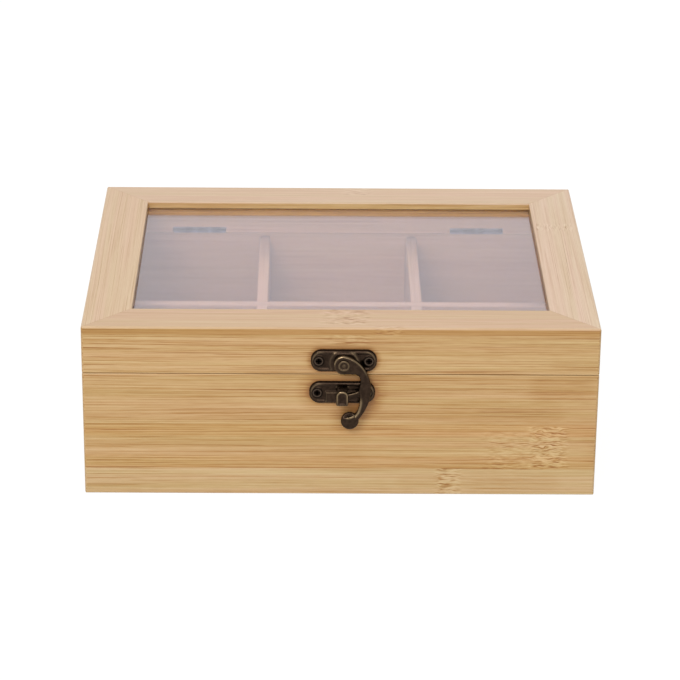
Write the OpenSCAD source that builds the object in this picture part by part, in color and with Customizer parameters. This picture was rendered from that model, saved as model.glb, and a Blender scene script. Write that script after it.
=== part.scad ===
// Bamboo tea bag box: six compartments, a hinged lid with a clear window, and a swing hook latch.
// Millimetres. +Z is up and the front faces -Y. The origin is the middle of the flat underside.

/* [Box] */
// Width of the closed box, left to right
box_w = 220; // [190:1:260]
// Depth of the closed box, front to back
box_d = 170; // [140:1:210]
// Height of the closed box
box_h = 78; // [68:1:110]
// Thickness of the bamboo walls of the box and the lid
wall_t = 8; // [7:0.5:10]
// Radius of the eased upright corners
corner_r = 1.2; // [0.6:0.1:2.5]
// Chamfer on the long outer edges of the walls
edge_ease = 0.4; // [0.2:0.1:0.8]
// Thickness of the bottom panel
bottom_t = 4; // [3:0.5:6]
// How far the bottom panel reaches into the rabbet in the walls
bottom_seat = 4; // [3:0.5:5]
// Gap around the bottom panel in its rabbet
bottom_gap = 0.15; // [0.05:0.05:0.4]

/* [Dividers] */
// Thickness of the dividers
divider_t = 5; // [4:0.5:7]
// How far the tops of the dividers lie below the rim of the box
divider_drop = 2.7; // [1.5:0.1:8]
// How far the long divider stands forward of the middle
divider_forward = 3; // [-8:0.5:8]
// Depth of the grooves that hold the dividers
groove_deep = 3; // [2:0.5:4]
// Sideways play of a divider in its groove, on each side
groove_play = 0.2; // [0.1:0.05:0.4]
// How far the round top of a groove rises over the divider in it
groove_over = 1.9; // [1:0.1:2.2]
// Play in the halving joints where the dividers cross, on each side
lap_play = 0.1; // [0.05:0.05:0.3]

/* [Lid] */
// Height of the lid
lid_h = 21.3; // [20:0.1:30]
// Gap along the seam when the lid is shut
seam_gap = 0.3; // [0.2:0.05:0.6]
// Width of the mitred frame around the window
frame_w = 20.5; // [16:0.5:30]
// Thickness of the mitred frame
frame_t = 3.2; // [2.8:0.1:5]
// Radius of the frame's top outer edge
frame_round = 1; // [0.5:0.1:2]
// Radius of the frame's edge at the window
window_round = 0.5; // [0.2:0.1:1]
// Thickness of the clear pane
pane_t = 1.8; // [1.5:0.1:2.5]
// How far the pane reaches over the rabbet in the lid's sides
pane_seat = 4; // [3:0.5:5]
// Gap between the pane and the frame above it
pane_gap = 0.3; // [0.1:0.05:0.5]
// Gap around the pane in its rabbet
pane_play = 0.3; // [0.1:0.05:0.5]

/* [Hinges] */
// Distance of each hinge's middle from the end of the box
hinge_end = 44; // [30:1:70]
// Length of a hinge
hinge_len = 25; // [20:1:32]
// Number of knuckles on a hinge
knuckles = 5; // [3:2:7]
// Outer radius of the knuckles
knuckle_r = 1.5; // [1.3:0.1:1.8]
// Thickness of the sheet that the leaves are made of
leaf_t = 1; // [0.8:0.1:1.2]
// Radius of the hinge pin
pin_r = 0.8; // [0.6:0.05:0.9]
// Running clearance of the pin in the knuckles
pin_fit = 0.05; // [0.02:0.01:0.1]
// Gap between neighbouring knuckles
knuckle_gap = 0.2; // [0.1:0.05:0.4]
// How far the hinge line lies inside the back face
hinge_inset = 1.2; // [1:0.1:1.4]
// Clearance of the wood and of the other leaf around the knuckles
knuckle_relief = 0.3; // [0.2:0.05:0.5]
// Distance of each screw from the middle of its hinge
hinge_screw_x = 8; // [6:0.5:9]

/* [Latch] */
// Place of the latch plate right of the middle of the box
latch_x = 1.2; // [-20:0.1:20]
// Place of the catch plate left of the latch plate
catch_shift = 0.6; // [0:0.1:1]
// Length of the two latch plates
plate_len = 28; // [26:1:34]
// Width of the two latch plates
plate_w = 10; // [9:0.5:12]
// Radius of the plates' corners
plate_corner = 4.5; // [3:0.1:4.5]
// Thickness of the two latch plates
plate_t = 1.6; // [1.2:0.1:2]
// Chamfer round the face of the latch plates
plate_bevel = 0.7; // [0.3:0.1:0.9]
// Spacing of the two screws in each plate
plate_screws = 21.3; // [18:0.1:22]
// Height of the hook's pivot above the seam
pivot_rise = 6.1; // [5:0.1:8]
// Height of the upper plate's middle above the pivot
plate_rise = 0.7; // [0:0.1:1.5]
// Radius of the round boss that the hook turns on
boss_r = 6.2; // [5:0.1:7]
// Height of the boss above the plate
boss_t = 0.5; // [0.3:0.1:0.8]
// Depth of the catch plate's middle below the seam
catch_fall = 7.9; // [6:0.1:9]
// Radius of the rivet's shank
rivet_r = 1.3; // [1:0.1:1.6]
// Running clearance of the hook on its rivet
rivet_fit = 0.05; // [0.02:0.01:0.1]
// Thickness of the hook's arm
hook_t = 2.4; // [2:0.1:3]
// Radius of the hook's eye
eye_r = 4.2; // [3.6:0.1:4.6]
// How far the hook's outer edge reaches to the right of its pivot
hook_bow = 11.1; // [10:0.1:13]
// Width of the arm at its widest, level with the claw
arm_w = 4.9; // [4:0.1:5.5]
// Depth of the knob's middle below the pivot
hook_drop = 25.9; // [24:0.1:30]
// Place of the knob's middle right of the pivot
knob_x = 2.7; // [0:0.1:5]
// Radius of the finger knob
knob_r = 3.85; // [3:0.05:4.5]
// Thickness of the finger knob
knob_t = 3.6; // [3:0.1:4]
// Radius, from the pivot, of the edge of the claw that bears on the catch
claw_r = 13.7; // [13:0.1:14.5]
// Width of the claw
claw_w = 2.7; // [2:0.1:3.2]
// Thickness of the claw
claw_t = 1.8; // [1.4:0.1:2.2]
// Width of the catch's tongue
tongue_w = 5.2; // [4:0.1:6]
// Thickness of the catch's tongue
tongue_t = 1.2; // [0.8:0.1:1.5]
// Length of the catch's tongue, from its bend down to its free end
tongue_len = 6.2; // [5.5:0.1:7.5]
// Clearance between the claw and the catch, above and in front
claw_gap = 0.5; // [0.3:0.1:0.8]

/* [Screws] */
// Radius of the screw shanks
screw_r = 1; // [0.8:0.1:1.2]
// Radius of the heads of the latch screws
latch_head_r = 2; // [1.6:0.1:2.2]
// Radius of the heads of the hinge screws
hinge_head_r = 1.6; // [1.4:0.1:1.8]
// Depth that the latch screws reach into the wood
latch_screw_deep = 6; // [4:0.5:6.5]
// Depth that the hinge screws reach into the wood
hinge_screw_deep = 8; // [6:0.5:10]

/* [Hidden] */
$fn = 48;
eps = 0.01;                                   // overlap that keeps a cut clean
over = 1;                                     // overshoot of a cut past a face

body_h = box_h - lid_h - seam_gap;            // rim of the box
lid_z = body_h + seam_gap;                    // underside of the lid
frame_z = box_h - frame_t;                    // underside of the frame
seam_z = body_h + seam_gap / 2;
inner_w = box_w - 2 * wall_t;
inner_d = box_d - 2 * wall_t;
front_y = -box_d / 2;
back_y = box_d / 2;

divider_top = body_h - divider_drop;
divider_mid = (bottom_t + divider_top) / 2;   // where the halving joints meet
cross_y = -divider_forward;
column_w = (inner_w - 2 * divider_t) / 3;     // clear width of a compartment
column_x = (column_w + divider_t) / 2;        // middle of each short divider
groove_w = divider_t + 2 * groove_play;
groove_top = divider_top + groove_over;
groove_end_gap = 0.3;                         // left free at the end of a divider

pane_z = frame_z - pane_gap - pane_t;         // underside of the pane

hinge_x = box_w / 2 - hinge_end;
hinge_y = back_y - hinge_inset;
hinge_z = body_h + knuckle_r;                 // the box leaf lies on the rim
leaf_reach = wall_t - hinge_inset - 0.2;      // from the hinge line to just inside the wall's face
hinge_top = body_h + 2 * knuckle_r;           // upper face of the lid leaf
knuckle_pitch = hinge_len / knuckles;
leaf_screw_y = hinge_y - (leaf_reach + knuckle_r + knuckle_relief) / 2;
hinge_play = 0.2;                             // between a leaf's end and the wood

latch_z = seam_z + pivot_rise;                // height of the hook's pivot
catch_z = seam_z - catch_fall;                // height of the catch plate's middle
catch_x = latch_x - catch_shift;
hook_z0 = plate_t + boss_t + 0.1;             // back of the hook, measured out from the box
hook_z1 = hook_z0 + hook_t;
rivet_head_r = rivet_r + 1.2;
rivet_head_t = 0.6;
tongue_z = hook_z0 + claw_t + claw_gap;       // back of the tongue, measured out from the box
tongue_front = tongue_z + tongue_t;
tongue_bend = tongue_t + 0.4;                 // outer radius of the tongue's bend
tongue_top = latch_z - claw_r + claw_gap + tongue_t;    // height of the tongue's bend
knob_round = 1.5;                             // rounding of the knob's rim
arm_rings = 14;                               // rings along each half of the hook's arm
arm_bevel = 0.8;                              // bevel along the arm's front edges
arm_ease = 0.3;                               // bevel along its back edges
arm_crown = 0.15;                             // rise of its face towards the middle
rivet_lift = 0.1;                             // play of the hook under the rivet's head

// Sides are numbered 0 front, 1 right, 2 back and 3 left, and each is drawn as if at the front.
function side_len(k) = k % 2 == 0 ? box_w : box_d;
function side_dist(k) = (k % 2 == 0 ? box_d : box_w) / 2;

module bamboo() color([0.80, 0.64, 0.42]) children();
module pale_bamboo() color([0.86, 0.73, 0.55]) children();
module bronze() color([0.24, 0.20, 0.17]) children();
module dark_steel() color([0.40, 0.40, 0.42]) children();

// Plan of a block with round upright corners.
module rounded_plan(w, d, r) {
    square([w - 2 * r, d], center = true);
    square([w, d - 2 * r], center = true);
    for (x = [-1, 1], y = [-1, 1])
        translate([x * (w / 2 - r), y * (d / 2 - r)]) circle(r);
}

// One straight side of a box or frame, mitred at both ends. The child is its section: x inward, y up.
module mitred_side(k, t) {
    len = side_len(k);
    dist = side_dist(k);
    rotate([0, 0, 90 * k]) intersection() {
        translate([-len / 2, -dist, 0]) rotate([90, 0, 90]) linear_extrude(len) children();
        linear_extrude(box_h + over) intersection() {
            polygon([[-len / 2, -dist], [len / 2, -dist],
                [len / 2 - t, t - dist], [t - len / 2, t - dist]]);
            rounded_plan(len, 2 * dist, corner_r);
        }
    }
}

// Section of a wall of the box, with the rabbet for the bottom panel.
module wall_section(top_ease) {
    seat = wall_t - bottom_seat;
    polygon([[edge_ease, 0], [seat, 0], [seat, bottom_t], [wall_t, bottom_t], [wall_t, body_h],
        [top_ease, body_h], [0, body_h - top_ease], [0, edge_ease]]);
}

// Upright groove in a wall, with the round top that the router leaves. It is drawn as if at the front.
module groove(k, x) {
    r = groove_w / 2;
    rotate([0, 0, 90 * k]) translate([x, wall_t - groove_deep - side_dist(k), 0]) {
        translate([-r, 0, -over]) cube([groove_w, groove_deep + over, groove_top - r + over]);
        translate([0, 0, groove_top - r]) rotate([-90, 0, 0]) cylinder(r = r, h = groove_deep + over);
    }
}

// Places children at both hinges, with X along the hinge line.
module at_hinge(side) translate([side * hinge_x, hinge_y, hinge_z]) children();
module at_hinges() for (side = [-1, 1]) at_hinge(side) children();

// Round relief in the wood along a hinge's knuckles.
module knuckle_scoop() rotate([0, 90, 0])
    cylinder(r = knuckle_r + knuckle_relief, h = hinge_len + 2 * hinge_play, center = true);

// Places children at the two screws of each hinge, Z along the screw.
module at_hinge_screws(z) for (side = [-1, 1], x = [-1, 1])
    translate([side * hinge_x + x * hinge_screw_x, leaf_screw_y, z]) children();

// Places children on the front face, with their Z pointing out of the box.
module on_front(x, z) translate([x, front_y, z]) rotate([90, 0, 0]) children();
module at_pivot() on_front(latch_x, latch_z) children();
module at_latch_plate() on_front(latch_x, latch_z + plate_rise) children();
module at_catch_plate() on_front(catch_x, catch_z) children();

// Places children at the two screws of a latch plate.
module at_plate_screws() for (x = [-1, 1]) translate([x * plate_screws / 2, 0, 0]) children();

// Pilot hole that a screw fills, down from its head.
module pilot(deep) translate([0, 0, -deep]) cylinder(r = screw_r, h = deep + eps);

module front_wall() bamboo() difference() {
    mitred_side(0, wall_t) wall_section(edge_ease);
    for (x = [-1, 1]) groove(0, x * column_x);
    at_catch_plate() at_plate_screws() pilot(latch_screw_deep);
}

module back_wall() bamboo() difference() {
    mitred_side(2, wall_t) wall_section(0);
    for (x = [-1, 1]) groove(2, x * column_x);
    at_hinges() knuckle_scoop();
    at_hinge_screws(body_h) pilot(hinge_screw_deep);
}

module right_wall() bamboo() difference() {
    mitred_side(1, wall_t) wall_section(edge_ease);
    groove(1, cross_y);
}

module left_wall() bamboo() difference() {
    mitred_side(3, wall_t) wall_section(edge_ease);
    groove(3, -cross_y);
}

module bottom_panel() pale_bamboo() {
    reach = 2 * (bottom_seat - bottom_gap);
    translate([0, 0, bottom_t / 2]) cube([inner_w + reach, inner_d + reach, bottom_t], center = true);
}

// A divider standing on the bottom panel along Y, with its top edges eased.
module divider(len) {
    h = divider_top - bottom_t;
    half = divider_t / 2;
    translate([0, len / 2, bottom_t]) rotate([90, 0, 0]) linear_extrude(len)
        polygon([[-half, 0], [half, 0], [half, h - edge_ease], [half - edge_ease, h],
            [edge_ease - half, h], [-half, h - edge_ease]]);
}

function divider_len(inner) = inner + 2 * (groove_deep - groove_end_gap);

// Front-to-back divider. The long divider drops into the slot in its upper half.
module short_divider(side) pale_bamboo() difference() {
    translate([side * column_x, 0, 0]) divider(divider_len(inner_d));
    translate([side * column_x - divider_t, cross_y - divider_t / 2 - lap_play, divider_mid])
        cube([2 * divider_t, divider_t + 2 * lap_play, box_h]);
}

// Left-to-right divider, slotted from below over the two short ones.
module long_divider() pale_bamboo() difference() {
    translate([0, cross_y, 0]) rotate([0, 0, 90]) divider(divider_len(inner_w));
    for (side = [-1, 1])
        translate([side * column_x - divider_t / 2 - lap_play, cross_y - divider_t, -over])
            cube([divider_t + 2 * lap_play, 2 * divider_t, divider_mid + over]);
}

// Section of a side of the lid, below the frame, with the rabbet that the pane lies in.
module lid_side_section(ease) {
    seat = wall_t - pane_seat;
    polygon([[ease, lid_z], [wall_t, lid_z], [wall_t, pane_z], [seat, pane_z], [seat, frame_z],
        [0, frame_z], [0, lid_z + ease]]);
}

module lid_front_side() bamboo() difference() {
    mitred_side(0, wall_t) lid_side_section(edge_ease);
    at_latch_plate() at_plate_screws() pilot(latch_screw_deep);
}

// The back side has a notch for each hinge. Its chamfer clears the box as the lid swings.
module lid_back_side() bamboo() difference() {
    mitred_side(2, wall_t) lid_side_section(hinge_inset);
    for (side = [-1, 1])
        translate([side * hinge_x - hinge_len / 2 - hinge_play, inner_d / 2 - over, lid_z - over])
            cube([hinge_len + 2 * hinge_play, wall_t + 2 * over, hinge_top - lid_z + over]);
    at_hinges() knuckle_scoop();
    at_hinge_screws(hinge_top) mirror([0, 0, 1]) pilot(hinge_screw_deep);
}

module lid_right_side() bamboo() mitred_side(1, wall_t) lid_side_section(edge_ease);
module lid_left_side() bamboo() mitred_side(3, wall_t) lid_side_section(edge_ease);

// What a round edge of radius r takes off a square corner at the origin, with the wood at +x, -y.
module edge_cut(r) difference() {
    translate([-over, -r]) square([r + over, r + over]);
    translate([r, -r]) circle(r);
}

// Section of a frame rail, with two round top edges.
module rail_section() difference() {
    translate([0, frame_z]) square([frame_w, frame_t]);
    translate([0, box_h]) edge_cut(frame_round);
    translate([frame_w, box_h]) mirror([1, 0]) edge_cut(window_round);
}

module frame_rail(k) pale_bamboo() mitred_side(k, frame_w) rail_section();

module window_pane() color([0.85, 0.86, 0.90, 0.35]) {
    reach = 2 * (pane_seat - pane_play);
    translate([0, 0, pane_z + pane_t / 2])
        cube([inner_w + reach, inner_d + reach, pane_t], center = true);
}

// Countersunk screw with a cross recess, its head's face at z = 0 and its point down.
module screw(head_r, deep) {
    head_t = head_r - screw_r;
    point = 1.5 * screw_r;
    difference() {
        union() {
            translate([0, 0, -head_t]) cylinder(r1 = screw_r, r2 = head_r, h = head_t);
            translate([0, 0, point - deep]) cylinder(r = screw_r, h = deep - point - head_t + eps);
            translate([0, 0, -deep]) cylinder(r1 = 0.2, r2 = screw_r, h = point + eps);
        }
        for (a = [0, 90]) rotate([0, 0, a])
            cube([1.3 * head_r, 0.3 * head_r, head_t], center = true);
    }
}

// Countersink that the screw's head fills.
module countersink(head_r) {
    head_t = head_r - screw_r;
    translate([0, 0, -head_t]) cylinder(r1 = screw_r, r2 = head_r, h = head_t);
    translate([0, 0, -box_h]) cylinder(r = screw_r, h = box_h);
    cylinder(r = head_r, h = over);
}

// One leaf of a hinge, drawn as the box leaf, below the hinge line. It has every other knuckle.
module leaf(first) difference() {
    union() {
        translate([-hinge_len / 2, -leaf_reach, -knuckle_r]) cube([hinge_len, leaf_reach, leaf_t]);
        for (i = [first:2:knuckles - 1]) knuckle(i, knuckle_r, -knuckle_gap / 2);
    }
    for (i = [1 - first:2:knuckles - 1]) knuckle(i, knuckle_r + knuckle_relief, knuckle_gap / 2);
    rotate([0, 90, 0]) cylinder(r = pin_r + pin_fit, h = hinge_len + over, center = true);
    for (x = [-1, 1])
        translate([x * hinge_screw_x, leaf_screw_y - hinge_y, leaf_t - knuckle_r])
            countersink(hinge_head_r);
}

// Knuckle i of a hinge, longer by grow at each end.
module knuckle(i, r, grow)
    translate([-hinge_len / 2 + i * knuckle_pitch - grow, 0, 0]) rotate([0, 90, 0])
        cylinder(r = r, h = knuckle_pitch + 2 * grow);

module hinge_box_leaf(side) dark_steel() at_hinge(side) leaf(0);
module hinge_lid_leaf(side) dark_steel() at_hinge(side) mirror([0, 0, 1]) leaf(1);
module hinge_pin(side) dark_steel() at_hinge(side)
    rotate([0, 90, 0]) cylinder(r = pin_r, h = hinge_len - knuckle_gap, center = true);

module hinge_box_screws() dark_steel()
    at_hinge_screws(body_h + leaf_t) screw(hinge_head_r, hinge_screw_deep + leaf_t - over / 2);
module hinge_lid_screws() dark_steel()
    at_hinge_screws(hinge_top - leaf_t) mirror([0, 0, 1])
        screw(hinge_head_r, hinge_screw_deep + leaf_t - over / 2);

// Plate with round corners and a chamfer round its face.
module plate() {
    long = plate_len / 2 - plate_corner;
    short = plate_w / 2 - plate_corner;
    edge_t = plate_t - plate_bevel;
    for (x = [-long, long], y = [-short, short]) translate([x, y, 0]) {
        cylinder(r = plate_corner, h = edge_t);
        translate([0, 0, edge_t])
            cylinder(r1 = plate_corner, r2 = plate_corner - plate_bevel, h = plate_bevel);
    }
    translate([-long, 0, 0]) rotate([90, 0, 90]) linear_extrude(2 * long) plate_section(plate_w / 2);
    if (short > 0)
        translate([0, short, 0]) rotate([90, 0, 0]) linear_extrude(2 * short)
            plate_section(plate_len / 2);
}

// Section across a plate, from -half to half.
module plate_section(half) {
    edge_t = plate_t - plate_bevel;
    polygon([[-half, 0], [half, 0], [half, edge_t], [half - plate_bevel, plate_t],
        [plate_bevel - half, plate_t], [-half, edge_t]]);
}

// Latch plate, with the round boss that the hook turns on.
module latch_plate() bronze() difference() {
    union() {
        at_latch_plate() plate();
        intersection() {
            at_latch_plate() linear_extrude(plate_t + boss_t)
                rounded_plan(plate_len - 2 * plate_bevel, plate_w - 2 * plate_bevel,
                    plate_corner - plate_bevel);
            at_pivot() cylinder(r1 = boss_r + plate_t, r2 = boss_r - boss_t, h = plate_t + boss_t);
        }
    }
    at_pivot() translate([0, 0, -over]) cylinder(r = rivet_r, h = plate_t + boss_t + 2 * over);
    at_latch_plate() at_plate_screws() translate([0, 0, plate_t]) countersink(latch_head_r);
}

module latch_plate_screws() bronze() at_latch_plate() plate_screw_pair();
module catch_plate_screws() bronze() at_catch_plate() plate_screw_pair();
module plate_screw_pair() at_plate_screws()
    translate([0, 0, plate_t]) screw(latch_head_r, latch_screw_deep + plate_t - over / 2);

// Rivet with a shallow hollow in its head.
module hook_rivet() bronze() at_pivot() {
    head_z = hook_z1 + rivet_lift;
    half = rivet_head_t / 2;
    difference() {
        union() {
            cylinder(r = rivet_r, h = head_z + half);
            translate([0, 0, head_z]) cylinder(r = rivet_head_r, h = half);
            translate([0, 0, head_z + half])
                cylinder(r1 = rivet_head_r, r2 = rivet_head_r - half, h = half);
        }
        translate([0, 0, head_z + half])
            cylinder(r1 = rivet_r - 0.3, r2 = rivet_r + 0.2, h = rivet_head_t);
    }
}

// Catch plate. Its tongue leans out from the top edge, over the claw, and bends down in front of it.
module catch_plate() bronze() {
    difference() {
        at_catch_plate() plate();
        at_catch_plate() at_plate_screws() translate([0, 0, plate_t]) countersink(latch_head_r);
    }
    on_front(catch_x, tongue_top) {
        tongue_strap() tongue_root();
        intersection() {
            tongue_strap() tongue_face();
            linear_extrude(box_d) tongue_outline();
        }
    }
}

// Draws a side view of the tongue, x up and y out from the box, as a strap of the tongue's width.
module tongue_strap()
    translate([-tongue_w / 2, 0, 0]) rotate([90, 0, 90]) linear_extrude(tongue_w) children();

// Side view of the leaning part, between the plate's top edge and the bend.
module tongue_root() {
    edge = catch_z + plate_w / 2 - tongue_top;
    edge_t = plate_t - plate_bevel;
    polygon([[edge - edge_ease, edge_t], [0, tongue_front - tongue_bend],
        [-tongue_t, tongue_front - tongue_bend], [edge - 2 * tongue_t, edge_t]]);
}

// Side view of the bend and the part in front of the claw, down from the bend.
module tongue_face() {
    translate([-tongue_len, tongue_z]) square([tongue_len - tongue_bend, tongue_t]);
    translate([-tongue_bend, tongue_front - tongue_bend]) intersection() {
        difference() {
            circle(tongue_bend);
            circle(tongue_bend - tongue_t);
        }
        translate([-eps, -eps]) square(tongue_bend + eps);
    }
}

// Front view of the tongue, with an arched top and eased lower corners.
module tongue_outline() {
    r = tongue_w / 2;
    low = 1;
    translate([0, -r]) circle(r);
    translate([-r, low - tongue_len]) square([tongue_w, tongue_len - r - low]);
    translate([low - r, -tongue_len]) square([tongue_w - 2 * low, 2 * low]);
    for (x = [-1, 1]) translate([x * (r - low), low - tongue_len]) circle(low);
}

// Cubic curve through the points a and d, pulled towards b and c.
function curve(a, b, c, d, t) =
    pow(1 - t, 3) * a + 3 * t * pow(1 - t, 2) * b + 3 * t * t * (1 - t) * c + pow(t, 3) * d;

// The two edges of the hook's arm, from the eye round to the knob, for s from 0 to 2.
knob_at = [knob_x, -hook_drop];
bow_outside = [hook_bow, -0.453 * hook_drop];
bow_inside = [hook_bow - arm_w, -0.467 * hook_drop];
function outer_edge(s) = s < 1
    ? curve([0, eye_r], [0.65 * hook_bow, 0.6 * eye_r], [hook_bow, -0.226 * hook_drop], bow_outside, s)
    : curve(bow_outside, [hook_bow, -0.69 * hook_drop], [0.73 * hook_bow, -0.954 * hook_drop],
        knob_at + [0.7, -1.7], s - 1);
function inner_edge(s) = s < 1
    ? curve([0, -eye_r], [0.42 * hook_bow, -eye_r], [0.75 * hook_bow, -0.104 * hook_drop], bow_inside, s)
    : curve(bow_inside, bow_inside - [0.9, 0.14 * hook_drop], [0.766 * hook_bow, -0.745 * hook_drop],
        knob_at + [-0.2, 0.6], s - 1);

// One ring of the arm, between its two edges: a flat back, a crowned face and bevels along the edges.
function arm_ring(s) =
    let (a = inner_edge(s), b = outer_edge(s), mid = (a + b) / 2,
        half = norm(b - a) / 2, across = (b - a) / norm(b - a),
        section = [[half - arm_ease, hook_z0], [half, hook_z0 + arm_ease], [half, hook_z1 - arm_bevel],
            [half - arm_bevel, hook_z1 - arm_crown], [0, hook_z1],
            [arm_bevel - half, hook_z1 - arm_crown],
            [-half, hook_z1 - arm_bevel], [-half, hook_z0 + arm_ease], [arm_ease - half, hook_z0]])
    [for (v = section) [mid[0] + across[0] * v[0], mid[1] + across[1] * v[0], v[1]]];

// Solid through a list of rings with the same number of points.
module skin(rings) {
    n = len(rings[0]);
    last = len(rings) - 1;
    polyhedron(
        points = [for (ring = rings, p = ring) p],
        faces = concat(
            [[for (j = [0:n - 1]) j]],
            [for (i = [0:last - 1], j = [0:n - 1]) let (k = (j + 1) % n)
                [i * n + j, (i + 1) * n + k, i * n + k]],
            [for (i = [0:last - 1], j = [0:n - 1]) let (k = (j + 1) % n)
                [i * n + j, (i + 1) * n + j, (i + 1) * n + k]],
            [[for (j = [n - 1:-1:0]) last * n + j]]));
}

// Swinging hook: an eye on the rivet, the bowed arm with its claw, and the knob for a finger.
module latch_hook() bronze() at_pivot() difference() {
    union() {
        skin([for (i = [0:2 * arm_rings]) arm_ring(i / arm_rings)]);
        translate([0, 0, hook_z0]) cylinder(r = eye_r, h = hook_t - arm_crown - arm_bevel);
        translate([0, 0, hook_z1 - arm_crown - arm_bevel])
            cylinder(r1 = eye_r, r2 = eye_r - arm_bevel, h = arm_bevel);
        translate([0, 0, hook_z0]) linear_extrude(claw_t) claw_outline();
        translate([knob_x, -hook_drop, 0]) knob();
    }
    cylinder(r = rivet_r + rivet_fit, h = box_d);
}

// The claw is a curved finger about the pivot, from the arm to past the middle of the catch.
module claw_outline() intersection() {
    difference() {
        circle(claw_r + claw_w);
        circle(claw_r);
    }
    polygon([[0, 0], [-0.15 * claw_r, -2 * claw_r], [hook_bow, -2 * claw_r], [hook_bow, -claw_r]]);
}

// Round knob with a full rim, standing a little proud of the arm.
module knob() translate([0, 0, hook_z0 - 0.4]) rotate_extrude() {
    square([knob_r - knob_round, knob_t]);
    translate([0, knob_round]) square([knob_r, knob_t - 2 * knob_round]);
    for (z = [knob_round, knob_t - knob_round]) translate([knob_r - knob_round, z]) circle(knob_round);
}

front_wall();
back_wall();
left_wall();
right_wall();
bottom_panel();
short_divider(-1);  // left_divider
short_divider(1);  // right_divider
long_divider();
lid_front_side();
lid_back_side();
lid_left_side();
lid_right_side();
frame_rail(0);  // frame_front_rail
frame_rail(2);  // frame_back_rail
frame_rail(3);  // frame_left_rail
frame_rail(1);  // frame_right_rail
window_pane();
hinge_box_leaf(-1);  // left_hinge_box_leaf
hinge_lid_leaf(-1);  // left_hinge_lid_leaf
hinge_pin(-1);  // left_hinge_pin
hinge_box_leaf(1);  // right_hinge_box_leaf
hinge_lid_leaf(1);  // right_hinge_lid_leaf
hinge_pin(1);  // right_hinge_pin
hinge_box_screws();
hinge_lid_screws();
latch_plate();
latch_plate_screws();
hook_rivet();
latch_hook();
catch_plate();
catch_plate_screws();
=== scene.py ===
"""Bamboo tea bag box with a windowed lid and a swing hook latch: fine meshes, finishes and studio.

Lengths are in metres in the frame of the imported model, with +Z up and the front facing -Y. The
latch is drawn in millimetres on the front face and moved there by a LatchPlace.
"""

import logging
import math
from collections.abc import Callable, Sequence
from dataclasses import dataclass, field, replace
from enum import Enum

import bmesh
import bpy
import numpy as np
from mathutils import Matrix


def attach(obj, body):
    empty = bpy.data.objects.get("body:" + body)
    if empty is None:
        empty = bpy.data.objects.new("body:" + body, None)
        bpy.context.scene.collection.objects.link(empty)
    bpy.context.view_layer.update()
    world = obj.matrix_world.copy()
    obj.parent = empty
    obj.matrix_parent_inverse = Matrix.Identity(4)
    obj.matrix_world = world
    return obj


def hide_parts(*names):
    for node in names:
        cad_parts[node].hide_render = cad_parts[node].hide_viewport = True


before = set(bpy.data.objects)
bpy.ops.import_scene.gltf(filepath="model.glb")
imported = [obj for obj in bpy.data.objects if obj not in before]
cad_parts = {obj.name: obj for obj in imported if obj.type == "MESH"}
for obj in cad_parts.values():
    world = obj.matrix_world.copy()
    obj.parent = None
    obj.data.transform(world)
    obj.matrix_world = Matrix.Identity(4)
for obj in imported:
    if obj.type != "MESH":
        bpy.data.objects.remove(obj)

LOG = logging.getLogger("tea_box")
MM = 0.001
BOX_HALF = (110.0, 85.0)  # half the box's width and depth, in mm
WINDOW_HALF = (89.6, 64.6)  # and half the window's
Colour = tuple[float, float, float]
Point = tuple[float, float, float]
Socket = bpy.types.NodeSocket
Inputs = dict[str | int, object]
Boss = Callable[[np.ndarray, np.ndarray], tuple[np.ndarray, np.ndarray]]  # of x and y
Field = Callable[[np.ndarray, np.ndarray, np.ndarray], np.ndarray]  # of x, y and distance in
RubAndLight = Callable[[np.ndarray, np.ndarray], np.ndarray]  # of distance in and side


def shown(red: float, green: float, blue: float) -> Colour:
    """Turns a colour as it shows on a screen into the linear colour that a shader takes.

    Args:
        red, green, blue: values from 0 to 255.

    Returns:
        The linear colour, from 0 to 1.
    """
    v = np.array([red, green, blue]) / 255
    low, high = v / 12.92, ((v + 0.055) / 1.055) ** 2.4
    return tuple(float(c) for c in np.where(v <= 0.04045, low, high))


def times(colour: Colour, by: float | Colour) -> Colour:
    """Returns a colour multiplied by a number or by another colour."""
    return tuple(float(c) for c in np.multiply(colour, by))


class Axis(Enum):
    """A direction of the part frame, by its place in a coordinate triple."""

    X = 0
    Y = 1
    Z = 2


class Slot(Enum):
    """A name for a new piece's finish, which the piece keeps."""

    BRONZE = "latch_bronze"


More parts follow.
